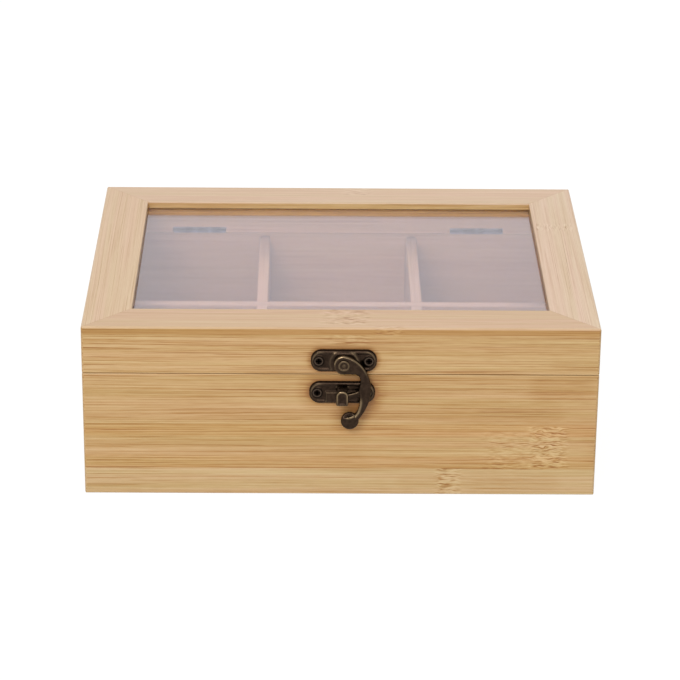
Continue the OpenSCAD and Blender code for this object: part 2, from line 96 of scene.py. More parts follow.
class Reading:
    """A number that a material works out at each point, for use in plain arithmetic."""

    def __init__(self, graph: "Graph", socket: Socket) -> None:
        """Keeps the graph and the socket that gives the number."""
        self.graph = graph
        self.socket = socket

    def step(self, operation: str, other: "float | Reading" = 0.0) -> "Reading":
        """Returns the result of one step of arithmetic on this number and another."""
        node = self.graph.add("Math", {0: self, 1: other}, operation=operation)
        return Reading(self.graph, node.outputs[0])

    def __add__(self, other: "float | Reading") -> "Reading":
        """Returns the sum."""
        return self.step("ADD", other)

    def __sub__(self, other: "float | Reading") -> "Reading":
        """Returns the difference."""
        return self.step("SUBTRACT", other)

    def __mul__(self, other: "float | Reading") -> "Reading":
        """Returns the product."""
        return self.step("MULTIPLY", other)

    def __truediv__(self, other: "float | Reading") -> "Reading":
        """Returns the quotient."""
        return self.step("DIVIDE", other)

    def __abs__(self) -> "Reading":
        """Returns the number without its sign."""
        return self.step("ABSOLUTE")

    def at_least(self, other: "float | Reading") -> "Reading":
        """Returns the larger of this number and another."""
        return self.step("MAXIMUM", other)

    def spread(self, gain: float, middle: float = 0.5) -> "Reading":
        """Returns how far the number is over a middle, times a gain."""
        return (self - middle) * gain

    def ramp(
        self, start: float, end: float, low: float = 0.0, high: float = 1.0, kind: str = "LINEAR"
    ) -> "Reading":
        """Steps from one value to another as the number grows.

        Args:
            start, end: the numbers between which the result changes.
            low, high: the result at start and at end, and beyond them.
            kind: the way between, a straight line or a smooth step.

        Returns:
            The result.
        """
        inputs = {"Value": self, "From Min": start, "From Max": end, "To Min": low, "To Max": high}
        node = self.graph.add("MapRange", inputs, interpolation_type=kind)
        return Reading(self.graph, node.outputs["Result"])

    def ease(self, start: float, end: float, low: float = 0.0, high: float = 1.0) -> "Reading":
        """Returns what ramp does, by a smooth step."""
        return self.ramp(start, end, low, high, "SMOOTHSTEP")


class Graph:
    """The shader nodes of a material or of the world."""

    def __init__(self, owner: bpy.types.Material | bpy.types.World) -> None:
        """Starts the owner's nodes afresh.

        Args:
            owner: the material or the world.
        """
        owner.use_nodes = True
        owner.node_tree.nodes.clear()
        self.owner = owner

    @classmethod
    def of(cls, name: str) -> "Graph":
        """Returns the graph of a new material of that name."""
        return cls(bpy.data.materials.new(name))

    def add(self, kind: str, inputs: Inputs | None = None, **settings: str) -> bpy.types.Node:
        """Adds a node.

        Args:
            kind: the node's type, without its ShaderNode prefix.
            inputs: number, colour, reading or socket for each input, by its name or number.
            settings: the node's own properties.

        Returns:
            The new node.
        """
        tree = self.owner.node_tree
        node = tree.nodes.new("ShaderNode" + kind)
        for name, value in settings.items():
            setattr(node, name, value)
        for name, value in (inputs or {}).items():
            source = value.socket if isinstance(value, Reading) else value
            if isinstance(source, Socket):
                tree.links.new(source, node.inputs[name])
            elif node.inputs[name].type == "RGBA":
                node.inputs[name].default_value = (*source, 1.0)
            else:
                node.inputs[name].default_value = source
        return node

    def shader(self, kind: str, inputs: Inputs) -> Socket:
        """Returns the shader that a new node gives."""
        return self.add(kind, inputs).outputs[0]

    def scale(self, vector: Socket, by: float) -> Socket:
        """Returns a vector times a number."""
        return self.add("VectorMath", {0: vector, "Scale": by}, operation="SCALE").outputs[0]

    def length(self, vector: Socket) -> Reading:
        """Returns a vector's length."""
        node = self.add("VectorMath", {0: vector}, operation="LENGTH")
        return Reading(self, node.outputs["Value"])

    def point(self, x: float | Reading, y: float | Reading, z: float | Reading) -> Socket:
        """Returns a vector made of three numbers."""
        return self.add("CombineXYZ", {0: x, 1: y, 2: z}).outputs[0]

    def place(self) -> tuple[Socket, list[Reading]]:
        """Returns the place on the object in mm, as a vector and as its X, Y and Z."""
        where = self.scale(self.add("TexCoord").outputs["Object"], 1 / MM)
        return where, [Reading(self, s) for s in self.add("SeparateXYZ", {0: where}).outputs]

    def noise(self, vector: Socket, detail: float = 0.0, roughness: float = 0.5) -> Reading:
        """Returns smooth random values, one lump for each unit of the vector."""
        inputs = {"Vector": vector, "Scale": 1.0, "Detail": detail, "Roughness": roughness}
        return Reading(self, self.add("TexNoise", inputs).outputs["Fac"])

    def mix(
        self, share: float | Reading, a: Colour | Socket, b: Colour | Socket, blend: str = "MIX"
    ) -> Socket:
        """Returns a colour between two, or the blend of them, by a share."""
        node = self.add("Mix", {0: share, 6: a, 7: b}, data_type="RGBA", blend_type=blend)
        return node.outputs[2]

    def bump(self, height: Reading, strength: float, depth: float) -> Socket:
        """Returns the normals of a surface with that height, whose depth is in mm."""
        inputs = {"Strength": strength, "Distance": depth * MM, "Height": height}
        return self.add("Bump", inputs).outputs[0]

    def seen(self) -> Reading:
        """Finds the rays by which something is seen or mirrored.

        Returns:
            1 for rays from the camera, off a mirror and through glass, and 0 for those that light.
        """
        rays = self.add("LightPath").outputs
        camera, mirror, glass = (
            Reading(self, rays[f"Is {kind} Ray"]) for kind in ("Camera", "Glossy", "Transmission")
        )
        return camera.at_least(mirror).at_least(glass)

    def end(self, shader: Socket) -> bpy.types.Material | bpy.types.World:
        """Ends the tree.

        Args:
            shader: the shader that the owner gets.

        Returns:
            The graph's owner.
        """
        world = isinstance(self.owner, bpy.types.World)
        self.add("OutputWorld" if world else "OutputMaterial", {"Surface": shader})
        return self.owner


@dataclass(frozen=True)
class WoodTone:
    """The colours of bamboo, from its pale fibres to the lines between its slats."""

    pale: Colour
    body: Colour
    deep: Colour
    line: Colour

    def scaled(self, by: Colour) -> "WoodTone":
        """Returns the same wood with every colour multiplied by another."""
        return WoodTone(*(times(tone, by) for tone in (self.pale, self.body, self.deep, self.line)))

    def at(self, depth: Reading) -> Socket:
        """Colours the grain.

        Args:
            depth: how dense the wood is, from 0, pale, to 1, a line between slats.

        Returns:
            The colour, which runs straight from one of the four to the next.
        """
        mix = depth.graph.mix
        light = mix(depth.ramp(0.0, 0.4), self.pale, self.body)
        dense = mix(depth.ramp(0.4, 0.75), light, self.deep)
        return mix(depth.ramp(0.75, 1.0), dense, self.line)


WALL_TONE = WoodTone(
    shown(209, 178, 130), shown(194, 157, 106), shown(178, 135, 78), shown(153, 104, 54)
)
FRAME_TONE = WoodTone(
    shown(218, 187, 153), shown(208, 173, 136), shown(196, 157, 117), shown(170, 124, 86)
)
EDGE_TONE = WoodTone(
    shown(192, 153, 98), shown(178, 135, 76), shown(162, 115, 58), shown(140, 92, 46)
)
# Painted light: a paler cast for an inside that lies in the frame's shade
PAINTED_LIGHT_CAST = (2.0, 2.25, 1.55)
COOLER, WARMER = (0.985, 1.01, 0.96), (1.015, 0.99, 1.02)
# Painted shade: the dark line in the crevice where the frame's foot sits over the pane
FOOT_SHADE_LINE = shown(88, 56, 30)


@dataclass(frozen=True)
class Grain:
    """A layer of noise in the wood, long along the grain and short across it. Sizes in mm."""

    length: float
    width: float
    shift: float = 0.0
    detail: float = 0.0
    roughness: float = 0.5
    gain: float = 1.0


WAVE = Grain(130, 20, 3.1, gain=1.3)  # bends the fibres
SWIRL = Grain(6.0, 2.4, 7.7, 1.0, gain=2.6)  # curls them in a joint of the cane
FIBRE = Grain(95, 0.3, 0.0, 1.0, 0.6, 1.25)
STREAK = Grain(150, 1.5, 5.3, 1.0, 0.6, 0.3)
BROAD = Grain(380, 8.0, 9.2, 2.0, 0.5, 0.25)
FLECK = Grain(7, 0.4, 1.7, 1.0, gain=0.4)
VEIN = Grain(55, 0.44, 13.3, gain=0.27)
VEIN_STEP = (0.58, 0.65, -0.04)  # the noise between which a vein begins, and the wood beside it
SHORT = Grain(4.2, 0.42, 2.9, 1.5, 0.6, 3.4)  # the cut fibres in a joint of the cane
SHORT_MIDDLE = 0.51
HUE = Grain(160, 4.5, 21.7, 1.0)


@dataclass(frozen=True)
class Spot:
    """A place on a board in mm, by X, Y and Z and by the run of its bent fibres.

    Level is the place across the board itself, where across follows the fibres.
    """

    graph: Graph
    seed: float
    xyz: list[Reading]
    level: Reading
    along: Reading
    across: Reading
    through: Reading

    def noise(self, grain: Grain) -> Reading:
        """Works out a layer of noise.

        Args:
            grain: the layer.

        Returns:
            Random values in lumps of its length and width.
        """
        start = self.along / grain.length + (self.seed + grain.shift)
        vector = self.graph.point(start, self.across / grain.width, self.through / grain.width)
        return self.graph.noise(vector, grain.detail, grain.roughness)


@dataclass(frozen=True)
class Band:
    """A denser or paler stripe along a board, between two heights across it in mm."""

    low: float
    high: float
    strength: float
    cast: Colour | None = None
    edge: float = 0.6

    def inside(self, spot: Spot) -> Reading:
        """Returns 1 inside the band and 0 outside it, with soft edges."""
        rise = spot.across.ease(self.low - self.edge, self.low + self.edge)
        return rise * spot.across.ease(self.high - self.edge, self.high + self.edge, 1.0, 0.0)


@dataclass(frozen=True)
class Knot:
    """A joint of the cane, where its fibres swirl. Its middle and half lengths are in mm."""

    along: float
    across: float
    half_along: float
    half_across: float
    strength: float = 1.0
    full: tuple[float, float] = (0.45, 0.85)  # shares of the half lengths where it starts to fade

    def share(self, spot: Spot) -> Reading:
        """Works out how much of the joint there is at a place, from 0 to its strength.

        Args:
            spot: the place, before its fibres are bent.

        Returns:
            The share.
        """
        x = abs((spot.along - self.along) / self.half_along)
        y = abs((spot.across - self.across) / self.half_across)
        fade_x, fade_y = self.full
        return x.ease(fade_x, 1.0, self.strength, 0.0) * y.ease(fade_y, 1.0, 1.0, 0.0)


@dataclass(frozen=True)
class SlatLine:
    """A glue line or a painted shade line at a height in mm, or a painted highlight along an edge
    where it is pale. It comes and goes.
    """

    at: float
    strength: float = 0.4
    straight: bool = False
    length: float = 42.0
    half_width: tuple[float, float] = (0.08, 0.4)
    gaps: tuple[float, float, float] = (0.38, 0.6, 0.15)  # where it fades, and what stays of it
    shift: float = 3.7

    def depth(self, spot: Spot, order: int) -> Reading:
        """Works out the line's density.

        Args:
            spot: the place on the board.
            order: which line of the board it is, so that each comes and goes in its own way.

        Returns:
            What it adds to the depth of the wood.
        """
        g = spot.graph
        off = abs((spot.level if self.straight else spot.across) - self.at)
        start = spot.seed + self.shift * order
        wander = g.noise(g.point(spot.along / self.length, start, 0.0))
        return wander.ease(*self.gaps) * off.ease(*self.half_width, self.strength, 0.0)


@dataclass(frozen=True)
class PaintedShadePatch:
    """Painted shade round a plate with round ends, or a painted paler patch where the strength is
    below nought. Middle and sizes are in mm.
    """

    along: float
    height: float
    half_straight: float = 9.5
    radius: float = 4.6
    reach: float = 2.6
    strength: float = 0.42

    def depth(self, spot: Spot) -> Reading:
        """Works out the painted shade's density, which fades with the distance to the plate.

        Args:
            spot: the place on the board.

        Returns:
            What it adds to the depth of the wood.
        """
        past = abs(spot.along - self.along) - self.half_straight
        corner = spot.graph.point(past.at_least(0.0), spot.xyz[2] - self.height, 0.0)
        far = spot.graph.length(corner)
        return far.ease(self.radius, self.radius + self.reach, self.strength, 0.0)


@dataclass(frozen=True)
class Bamboo:
    """Satin bamboo board with long fibres, orange bands, slat lines and cane joints."""

    name: str
    run: Axis
    across: Axis
    tone: WoodTone = WALL_TONE
    contrast: float = 1.0
    seed: float = 0.0
    bands: tuple[Band, ...] = ()
    knots: tuple[Knot, ...] = ()
    slat_lines: tuple[SlatLine, ...] = ()
    # painted shade round the latch, and painted paler patches
    shade_patches: tuple[PaintedShadePatch, ...] = ()
    edge_tone: WoodTone | None = None
    edge_below: float = 77.4
    inner_tone: WoodTone | None = None
    # above this height the inside gets painted light
    painted_light_above: float | None = None
    # the height of the frame's foot, and the share of the painted shade line along it
    foot: float | None = None
    foot_shade_share: float = 1.0
    mitre: float | None = None
    mitre_line: tuple[float, float, float] = (0.1, 0.35, 0.22)  # where it fades, and its density
    edge_fade: float = 0.25
    skin: tuple[float, float] = (0.6, 0.3)  # how far in from the outer face the inner tone begins
    foot_fade: tuple[float, float] = (0.05, 0.25)  # over the foot of the frame
    window_fade: float = 0.3
    middle: float = 0.42
    roughness: float = 0.42
    rough_spread: float = 0.25
    relief: tuple[float, float] = (0.25, 0.05)  # strength and depth of the fibres' bumps
    ior: float = 1.48

    def material(self) -> bpy.types.Material:
        """Builds the board's material.

        The place across the grain is first bent by a slow wave and by the swirl of the cane
        joints. Noise that is long along the grain and short across it then gives the fibres,
        and these with the board's marks give the depth of the wood, which gives its colour.

        Returns:
            The material.
        """
        g = Graph.of(self.name)
        _, xyz = g.place()
        along, level = xyz[self.run.value], xyz[self.across.value]
        through = xyz[3 - self.run.value - self.across.value]
        spot = Spot(g, self.seed, xyz, level, along, level, through)
        knot = self._knot_share(spot)
        spot = replace(spot, across=level + spot.noise(WAVE).spread(WAVE.gain))
        if knot is not None:
            swirl = spot.noise(SWIRL).spread(SWIRL.gain)
            spot = replace(spot, across=spot.across + swirl * knot)
        fibre, cut_ends = spot.noise(FIBRE), None
        if knot is not None:
            short = spot.noise(SHORT)
            fibre = fibre + knot * (short - fibre)
            cut_ends = knot * short.spread(SHORT.gain, SHORT_MIDDLE)
        insides = [band.inside(spot) for band in self.bands]
        depth = self._depth(spot, fibre, cut_ends, insides)
        inputs = {
            "Base Color": self._colour(spot, depth, insides),
            "Roughness": fibre.spread(self.rough_spread) + self.roughness,
            "IOR": self.ior,
            "Normal": g.bump(fibre, *self.relief),
        }
        return g.end(g.shader("BsdfPrincipled", inputs))

    def _knot_share(self, spot: Spot) -> Reading | None:
        """Works out how much of a cane joint there is at a place.

        Args:
            spot: the place, before its fibres are bent.

        Returns:
            The largest share of a joint, or None on a board without one.
        """
        shares = [knot.share(spot) for knot in self.knots]
        for k in range(1, len(shares)):
            shares[k] = shares[k - 1].at_least(shares[k])
        return shares[-1] if shares else None

    def _depth(
        self, spot: Spot, fibre: Reading, cut_ends: Reading | None, insides: list[Reading]
    ) -> Reading:
        """Adds up how dense the wood is.

        Args:
            spot: the place on the board.
            fibre: the noise of the fibres.
            cut_ends: what the cut fibres in the cane joints add, if there are any.
            insides: the share of each band.

        Returns:
            The depth, from 0, pale, to 1, a line between slats.
        """
        layers = STREAK, BROAD, FLECK
        parts = [spot.noise(layer).spread(layer.gain * self.contrast) for layer in layers]
        parts.append(spot.noise(VEIN).ease(*VEIN_STEP, VEIN.gain * self.contrast))
        parts += [inside * band.strength for band, inside in zip(self.bands, insides)]
        parts += [line.depth(spot, k) for k, line in enumerate(self.slat_lines)]
        parts += [] if cut_ends is None else [cut_ends]
        # painted shade patches darken the wood, and those below nought lighten it
        parts += [shade_patch.depth(spot) for shade_patch in self.shade_patches]
        if self.mitre is not None:
            off = abs(abs(spot.xyz[0]) - abs(spot.xyz[1]) - self.mitre)
            parts.append(off.ease(*self.mitre_line, 0.0))
        return sum(parts, fibre.spread(FIBRE.gain * self.contrast) + self.middle)

    def _colour(self, spot: Spot, depth: Reading, insides: list[Reading]) -> Socket:
        """Colours the wood by its depth.

        Args:
            spot: the place on the board.
            depth: how dense the wood is there.
            insides: the share of each band.

        Returns:
            The colour, with the casts of the bands, the tones of a rubbed top edge and of an
            inside, a slow change of hue, and the dark line at the foot round the window.
        """
        g, z = spot.graph, spot.xyz[2]
        sides = [abs(part) for part in spot.xyz[:2]]
        colour = self.tone.at(depth)
        for band, inside in zip(self.bands, insides):
            if band.cast is not None:
                colour = g.mix(inside, colour, g.mix(1.0, colour, band.cast, "MULTIPLY"))
        if self.edge_tone is not None:
            top = z.ease(self.edge_below - self.edge_fade, self.edge_below + self.edge_fade)
            colour = g.mix(top, self.edge_tone.at(depth), colour)
        if self.inner_tone is not None:
            deep, thin = self.skin
            out_x, out_y = (a.ease(h - deep, h - thin) for a, h in zip(sides, BOX_HALF))
            inner = self.inner_tone.at(depth)
            # Painted light: the inside is paler above a height, where it lies in the frame's shade
            if self.painted_light_above is not None:
                share = z.ease(self.painted_light_above - 1.0, self.painted_light_above)
                inner = g.mix(share, inner, self.inner_tone.scaled(PAINTED_LIGHT_CAST).at(depth))
            colour = g.mix(out_x.at_least(out_y), inner, colour)
        hue = spot.noise(HUE).ease(0.3, 0.7)
        colour = g.mix(1.0, colour, g.mix(hue, COOLER, WARMER), "MULTIPLY")
        # Painted shade: a dark line along the foot of the frame round the window
        if self.foot is not None:
            fade = self.window_fade
            in_x, in_y = (a.ease(w, w + fade, 1.0, 0.0) for a, w in zip(sides, WINDOW_HALF))
            start, end = (self.foot + up for up in self.foot_fade)
            low = z.ease(start, end, self.foot_shade_share, 0.0)
            colour = g.mix(low * (in_x * in_y), colour, FOOT_SHADE_LINE)
        return colour


@dataclass(frozen=True)
class AgedBronze:
    """Dark antique bronze, brass where the wear and painted highlights are high, and black where
    patina and painted shade are low.
    """

    name: str
    dark: Colour = shown(48, 37, 29)
    # brass shows on rubbed edges and on painted highlights, and hollow is the black of patina and
    # of painted shade
    brass: Colour = shown(138, 118, 90)
    hollow: Colour = shown(20, 14, 10)
    blotches: float = 0.7
    grit: float = 5.0
    lumps: float = 0.9
    lump_share: float = 4.0
    roughness: float = 0.27
    rough_spread: float = 0.35
    relief: tuple[float, float] = (0.3, 0.06)

    def material(self) -> bpy.types.Material:
        """Builds the finish: blotchy and gritty metal, with brass along its worn edges and painted
        highlights, and black in patina and painted shade.

        Returns:
            The material.
        """
        g = Graph.of(self.name)
        where, _ = g.place()
        blotch = g.noise(g.scale(where, self.blotches), 3.0, 0.6)
        grit = g.noise(g.scale(where, self.grit), 2.0, 0.6)
        lump = g.noise(g.scale(where, self.lumps), 1.0)
        # the mesh attribute holds rubbed wear and painted highlights above nought, and patina and
        # painted shade below
        wear_and_painted_light = Reading(g, g.add("Attribute", attribute_name="wear_and_painted_light").outputs["Fac"])
        rubbed_and_highlit = (wear_and_painted_light * (grit.spread(1.2) + 1.0)).ramp(0.0, 1.0)
        metal = g.mix(blotch.ease(0.35, 0.65), self.dark, times(self.dark, 1.5))
        metal = g.mix(wear_and_painted_light.ease(-1.0, 0.0, 1.0, 0.0), metal, self.hollow)
        inputs = {
            "Base Color": g.mix(rubbed_and_highlit, metal, self.brass),
            "Metallic": 1.0,
            "Roughness": grit.spread(self.rough_spread) + self.roughness - rubbed_and_highlit * 0.08,
            "Normal": g.bump(grit + lump * self.lump_share, *self.relief),
        }
        return g.end(g.shader("BsdfPrincipled", inputs))


@dataclass(frozen=True)
class DrivenScrews:
    """Dark bronze screw heads with a painted highlight ring round a cross blackened by painted
    shade. Places are in mm.
    """

    name: str
    middle: tuple[float, float]
    spacing: float
    # ring is a painted highlight on the head's rim, and dark the painted shade of the cross and the
    # recess
    ring: Colour = shown(84, 71, 60)
    dark: Colour = shown(26, 19, 15)
    ring_r: float = 1.65
    roughness: float = 0.34

    def material(self) -> bpy.types.Material:
        """Builds the finish, with the distance to the nearer screw's axis as the pattern of its
        painted highlight ring.

        Returns:
            The material.
        """
        g = Graph.of(self.name)
        where, (x, _, z) = g.place()
        along = abs(x - self.middle[0]) - self.spacing
        far = g.length(g.point(along, z - self.middle[1], 0.0))
        grit = g.noise(g.scale(where, 4.0), 2.0, 0.6)
        # painted highlight ring round the screw's axis, over painted shade
        ring = abs(far - self.ring_r).ease(0.05, 0.45, 1.0, 0.0) * grit.ease(0.2, 0.6)
        inputs = {
            "Base Color": g.mix(ring, self.dark, self.ring),
            "Metallic": 1.0,
            "Roughness": grit.spread(0.35) + self.roughness,
        }
        return g.end(g.shader("BsdfPrincipled", inputs))


@dataclass(frozen=True)
class HingeSteel:
    """Blue-grey zinc-plated steel, faintly brushed."""

    name: str = "hinge_steel"
    colour: Colour = shown(138, 146, 158)
    roughness: float = 0.36

    def material(self) -> bpy.types.Material:
        """Builds the finish, with a brushed streak along the hinge line over darker blotches.

        Returns:
            The material.
        """
        g = Graph.of(self.name)
        _, (x, y, z) = g.place()
        brushed = g.noise(g.point(x * 0.25, y * 4.0, z * 4.0), 2.0)
        blotch = g.noise(g.point(x / 4.5, y / 9.0, z / 9.0), 1.0)
        bright = g.mix(blotch.ease(0.35, 0.6), times(self.colour, 0.6), times(self.colour, 1.5))
        inputs = {
            "Base Color": g.mix(brushed.ease(0.3, 0.7, 0.0, 0.5), bright, times(self.colour, 0.7)),
            "Metallic": 1.0,
            "Roughness": brushed.spread(0.3) + self.roughness,
        }
        return g.end(g.shader("BsdfPrincipled", inputs))


@dataclass(frozen=True)
class ClearPane:
    """Clear acrylic sheet with a faint bluish haze. It lets the lamps through."""

    name: str = "clear_pane"
    tint: Colour = (0.91, 0.87, 0.96)
    haze: Colour = (0.3, 0.25, 0.6)
    haze_share: float = 0.035
    blur: float = 0.035
    ior: float = 1.49
    gloss_ior: float = 1.23

    def material(self) -> bpy.types.Material:
        """Builds the finish: glass with a thin share of haze, and open to shadow rays.

        Returns:
            The material.
        """
        g = Graph.of(self.name)
        _, (x, y, _) = g.place()
        smear = g.noise(g.point(x / 60.0, y / 40.0, 0.0), 2.0)
        clear = {
            "Base Color": self.tint,
            "Roughness": self.blur,
            "IOR": self.ior,
            "Transmission Weight": 1.0,
            "Specular IOR Level": 0.0,
            "Coat Weight": 1.0,
            "Coat Roughness": 0.01,
            "Coat IOR": self.gloss_ior,
        }
        glass = g.shader("BsdfPrincipled", clear)
        film = {"Base Color": self.haze, "Roughness": 0.5, "IOR": self.ior}
        share = smear.ease(0.3, 0.7, 0.85, 1.15) * self.haze_share
        seen = g.shader("MixShader", {0: share, 1: glass, 2: g.shader("BsdfPrincipled", film)})
        opened = g.shader("BsdfTransparent", {"Color": self.tint})
        in_shadow = g.add("LightPath").outputs["Is Shadow Ray"]
        return g.end(g.shader("MixShader", {0: in_shadow, 1: seen, 2: opened}))


@dataclass
class Shell:
    """A closed surface on a grid, with the wear, painted highlights and painted shade of its edges.
    """

    points: np.ndarray
    wear_and_painted_light: np.ndarray

    @property
    def faces(self) -> np.ndarray:
        """Joins neighbouring rows by quads, with the columns closed to a ring.

        Returns:
            The corners of each quad.
        """
        rows, cols = self.points.shape[:2]
        i, j = np.meshgrid(np.arange(rows - 1), np.arange(cols), indexing="ij")
        k = (j + 1) % cols
        quads = np.stack([i * cols + j, i * cols + k, (i + 1) * cols + k, (i + 1) * cols + j], -1)
        return quads.reshape(-1, 4)


@dataclass(frozen=True)
class LatchPlace:
    """Where a latch piece's own origin lies on the front of the box, in mm."""

    x: float
    z: float
    front: float = -BOX_HALF[1]

    def put(self, points: np.ndarray) -> np.ndarray:
        """Returns points of the front face, x right, y up and z out, in the frame in metres."""
        x, y, z = np.moveaxis(points, -1, 0)
        return np.stack([x + self.x, self.front - z, y + self.z], -1) * MM


@dataclass
class Piece:
    """A finished object, what it stands for and what it rides on."""

    name: str
    shells: Sequence[Shell]
    place: LatchPlace
    finish: bpy.types.Material
    body: str
    slot: Slot
    stands_for: tuple[str, ...]
    crease: float = 40.0

    def build(self) -> bpy.types.Object:
        """Makes the mesh, dresses it, hangs it on its body and hides the nodes that it stands for.

        Returns:
            The object, at the origin with its place in its mesh.
        """
        points = np.concatenate([self.place.put(s.points).reshape(-1, 3) for s in self.shells])
        starts = np.cumsum([0] + [s.points[..., 0].size for s in self.shells[:-1]])
        faces = np.concatenate([s.faces + start for s, start in zip(self.shells, starts)])
        mesh = bpy.data.meshes.new(self.name)
        mesh.from_pydata(points, [], faces.tolist())
        # wear with painted highlights and painted shade, kept on the points
        wear_and_painted_light = np.concatenate([s.wear_and_painted_light.reshape(-1) for s in self.shells]).astype(np.float32)
        mesh.attributes.new("wear_and_painted_light", "FLOAT", "POINT").data.foreach_set("value", wear_and_painted_light)
        solid = bmesh.new()
        solid.from_mesh(mesh)
        bmesh.ops.remove_doubles(solid, verts=solid.verts, dist=0.002 * MM)
        bmesh.ops.dissolve_degenerate(solid, edges=solid.edges, dist=0.001 * MM)
        bmesh.ops.recalc_face_normals(solid, faces=solid.faces)
        solid.to_mesh(mesh)
        solid.free()
        mesh.shade_smooth()
        mesh.set_sharp_from_angle(angle=math.radians(self.crease))
        mesh.materials.append(self.finish)
        piece = bpy.data.objects.new(self.name, mesh)
        bpy.context.scene.collection.objects.link(piece)
        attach(piece, self.body)
        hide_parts(*self.stands_for)
        LOG.info("%s: %d faces on %s", self.name, len(mesh.polygons), self.body)
        return piece


def dress(node: str, finish: bpy.types.Material) -> None:
    """Gives a CAD node its finish in every material slot.

    Args:
        node: the node's name.
        finish: the material.
    """
    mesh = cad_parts[node].data
    if not mesh.materials:
        mesh.materials.append(finish)
    for i in range(len(mesh.materials)):
        mesh.materials[i] = finish
    LOG.info("%s: dressed in %s", node, finish.name)


def smooth(low: float, high: float, value: np.ndarray) -> np.ndarray:
    """Returns a smooth step from 0 at low to 1 at high: 3 t squared less 2 t cubed."""
    t = np.clip((value - low) / (high - low), 0, 1)
    return t * t * (3 - 2 * t)


def near(value: np.ndarray, at: float, width: float) -> np.ndarray:
    """Returns a bell of that width round a value: e to the minus square of the distance."""
    return np.exp(-(((value - at) / width) ** 2))


def round_drop(distance: np.ndarray, radius: float) -> np.ndarray:
    """Returns how far a quarter-round edge has dropped, at a distance in from the edge."""
    inside = np.clip(radius - distance, 0, radius)
    return radius - np.sqrt(np.maximum(radius**2 - inside**2, 0))


def rim_insets(rim: float, rim_steps: int, start: float, end: float, steps: int) -> np.ndarray:
    """Spreads distances in from an outline: over its rim by 1 less a cosine, then evenly.

    Args:
        rim: the rim's width.
        rim_steps: the number of distances over it.
        start, end: the distances between which the rest is spread.
        steps: the number of the rest.

    Returns:
        The distances.
    """
    over_rim = rim * (1 - np.cos(np.linspace(0, np.pi / 2, rim_steps)))
    return np.concatenate([over_rim, np.linspace(start, end, steps)])


@dataclass
class Outline:
    """A rectangle with a radius for each corner, in mm: right top first and then to the left."""

    half_len: float
    half_wid: float
    corners: tuple[float, float, float, float]
    arc_steps: int = 24
    line_steps: tuple[int, int] = (70, 6)

    def ring(self, inset: float) -> np.ndarray:
        """Works out the outline moved inward.

        A corner is its centre plus its radius times a direction that turns by a quarter, and a
        straight side is spread between the ends of two corners.

        Args:
            inset: the distance inward.

        Returns:
            The ring's points, one a row.
        """
        half = np.array([self.half_len, self.half_wid]) - inset
        signs = np.array([[1, 1], [-1, 1], [-1, -1], [1, -1]])
        arcs = []
        for k, sign in enumerate(signs):
            radius = max(self.corners[k] - inset, 0.0)
            a = np.radians(90 * k + np.linspace(0, 90, self.arc_steps + 1))[:, None]
            arcs.append(sign * (half - radius) + radius * np.concatenate([np.cos(a), np.sin(a)], 1))
        parts = []
        for k, arc in enumerate(arcs):
            t = np.linspace(0, 1, self.line_steps[k % 2] + 1)[1:-1, None]
            parts += [arc, arc[-1] + t * (arcs[(k + 1) % 4][0] - arc[-1])]
        return np.concatenate(parts)

    def rings(self, insets: np.ndarray) -> np.ndarray:
        """Works out the outline moved inward by each inset, and last closed on its spine.

        Args:
            insets: the distances inward.

        Returns:
            The rings, and then the last one with its y made nought.
        """
        rings = np.stack([self.ring(float(e)) for e in insets])
        spine = rings[-1] * np.array([1.0, 0.0])
        return np.concatenate([rings, spine[None]])


def relief(
    outline: Outline, insets: np.ndarray, floor: float, height: Field, wear_and_painted_light: Field
) -> Shell:
    """Makes a plate whose face is a height above its outline.

    A row is a ring of the outline. The rows run from the spine over the flat back, at the
    floor's height, to the outline, straight up the wall to the face's own height there, and over
    the face, where z is the height's function of x, y and the distance in, to the spine again.

    Args:
        outline: the plate's outline.
        insets: the distances in from the outline at which the face is worked out.
        floor: the height of the back.
        height, wear_and_painted_light: give the face's height, and its wear with painted highlights
            and painted shade, from x, y and the distance in.

    Returns:
        The closed plate.
    """
    rings = outline.rings(insets)
    far = np.append(insets, insets[-1] + 0.1)[:, None] * np.ones(rings.shape[1])
    face = np.concatenate([rings, height(rings[..., 0], rings[..., 1], far)[..., None]], -1)
    steps = np.linspace(0, 1, 4)[:-1]
    level = np.full((rings.shape[1], 1), floor)
    foot = np.concatenate([rings[0], level], -1)
    side = foot[None] + steps[:, None, None] * (face[0] - foot)[None]
    back = np.concatenate([rings[-1], level], -1)
    rubbed_and_highlit = wear_and_painted_light(rings[..., 0], rings[..., 1], far)
    blank = np.zeros((1 + len(steps), rings.shape[1]))
    return Shell(np.concatenate([back[None], side, face]), np.concatenate([blank, rubbed_and_highlit]))


def lathe(radii: np.ndarray, heights: np.ndarray, wear_and_painted_light: np.ndarray, steps: int) -> Shell:
    """Turns a profile about the Z axis: x and y are its radius times cosine and sine.

    Args:
        radii, heights: the profile, from the axis to the axis.
        wear_and_painted_light: the wear and painted light along it.
        steps: the number of points round the axis.

    Returns:
        The closed solid.
    """
    a = np.linspace(0, 2 * np.pi, steps, endpoint=False)
    x, y = radii[:, None] * np.cos(a), radii[:, None] * np.sin(a)
    z = np.broadcast_to(heights[:, None], x.shape)
    return Shell(np.stack([x, y, z], -1), np.broadcast_to(wear_and_painted_light[:, None], x.shape).copy())


def cubic(
    a: Sequence[float], b: Sequence[float], c: Sequence[float], d: Sequence[float], t: np.ndarray
) -> np.ndarray:
    """Returns points on the cubic curve from a to d that is pulled towards b and c."""
    t = t[:, None]
    return (1 - t) ** 3 * a + 3 * t * (1 - t) ** 2 * b + 3 * t * t * (1 - t) * c + t**3 * d


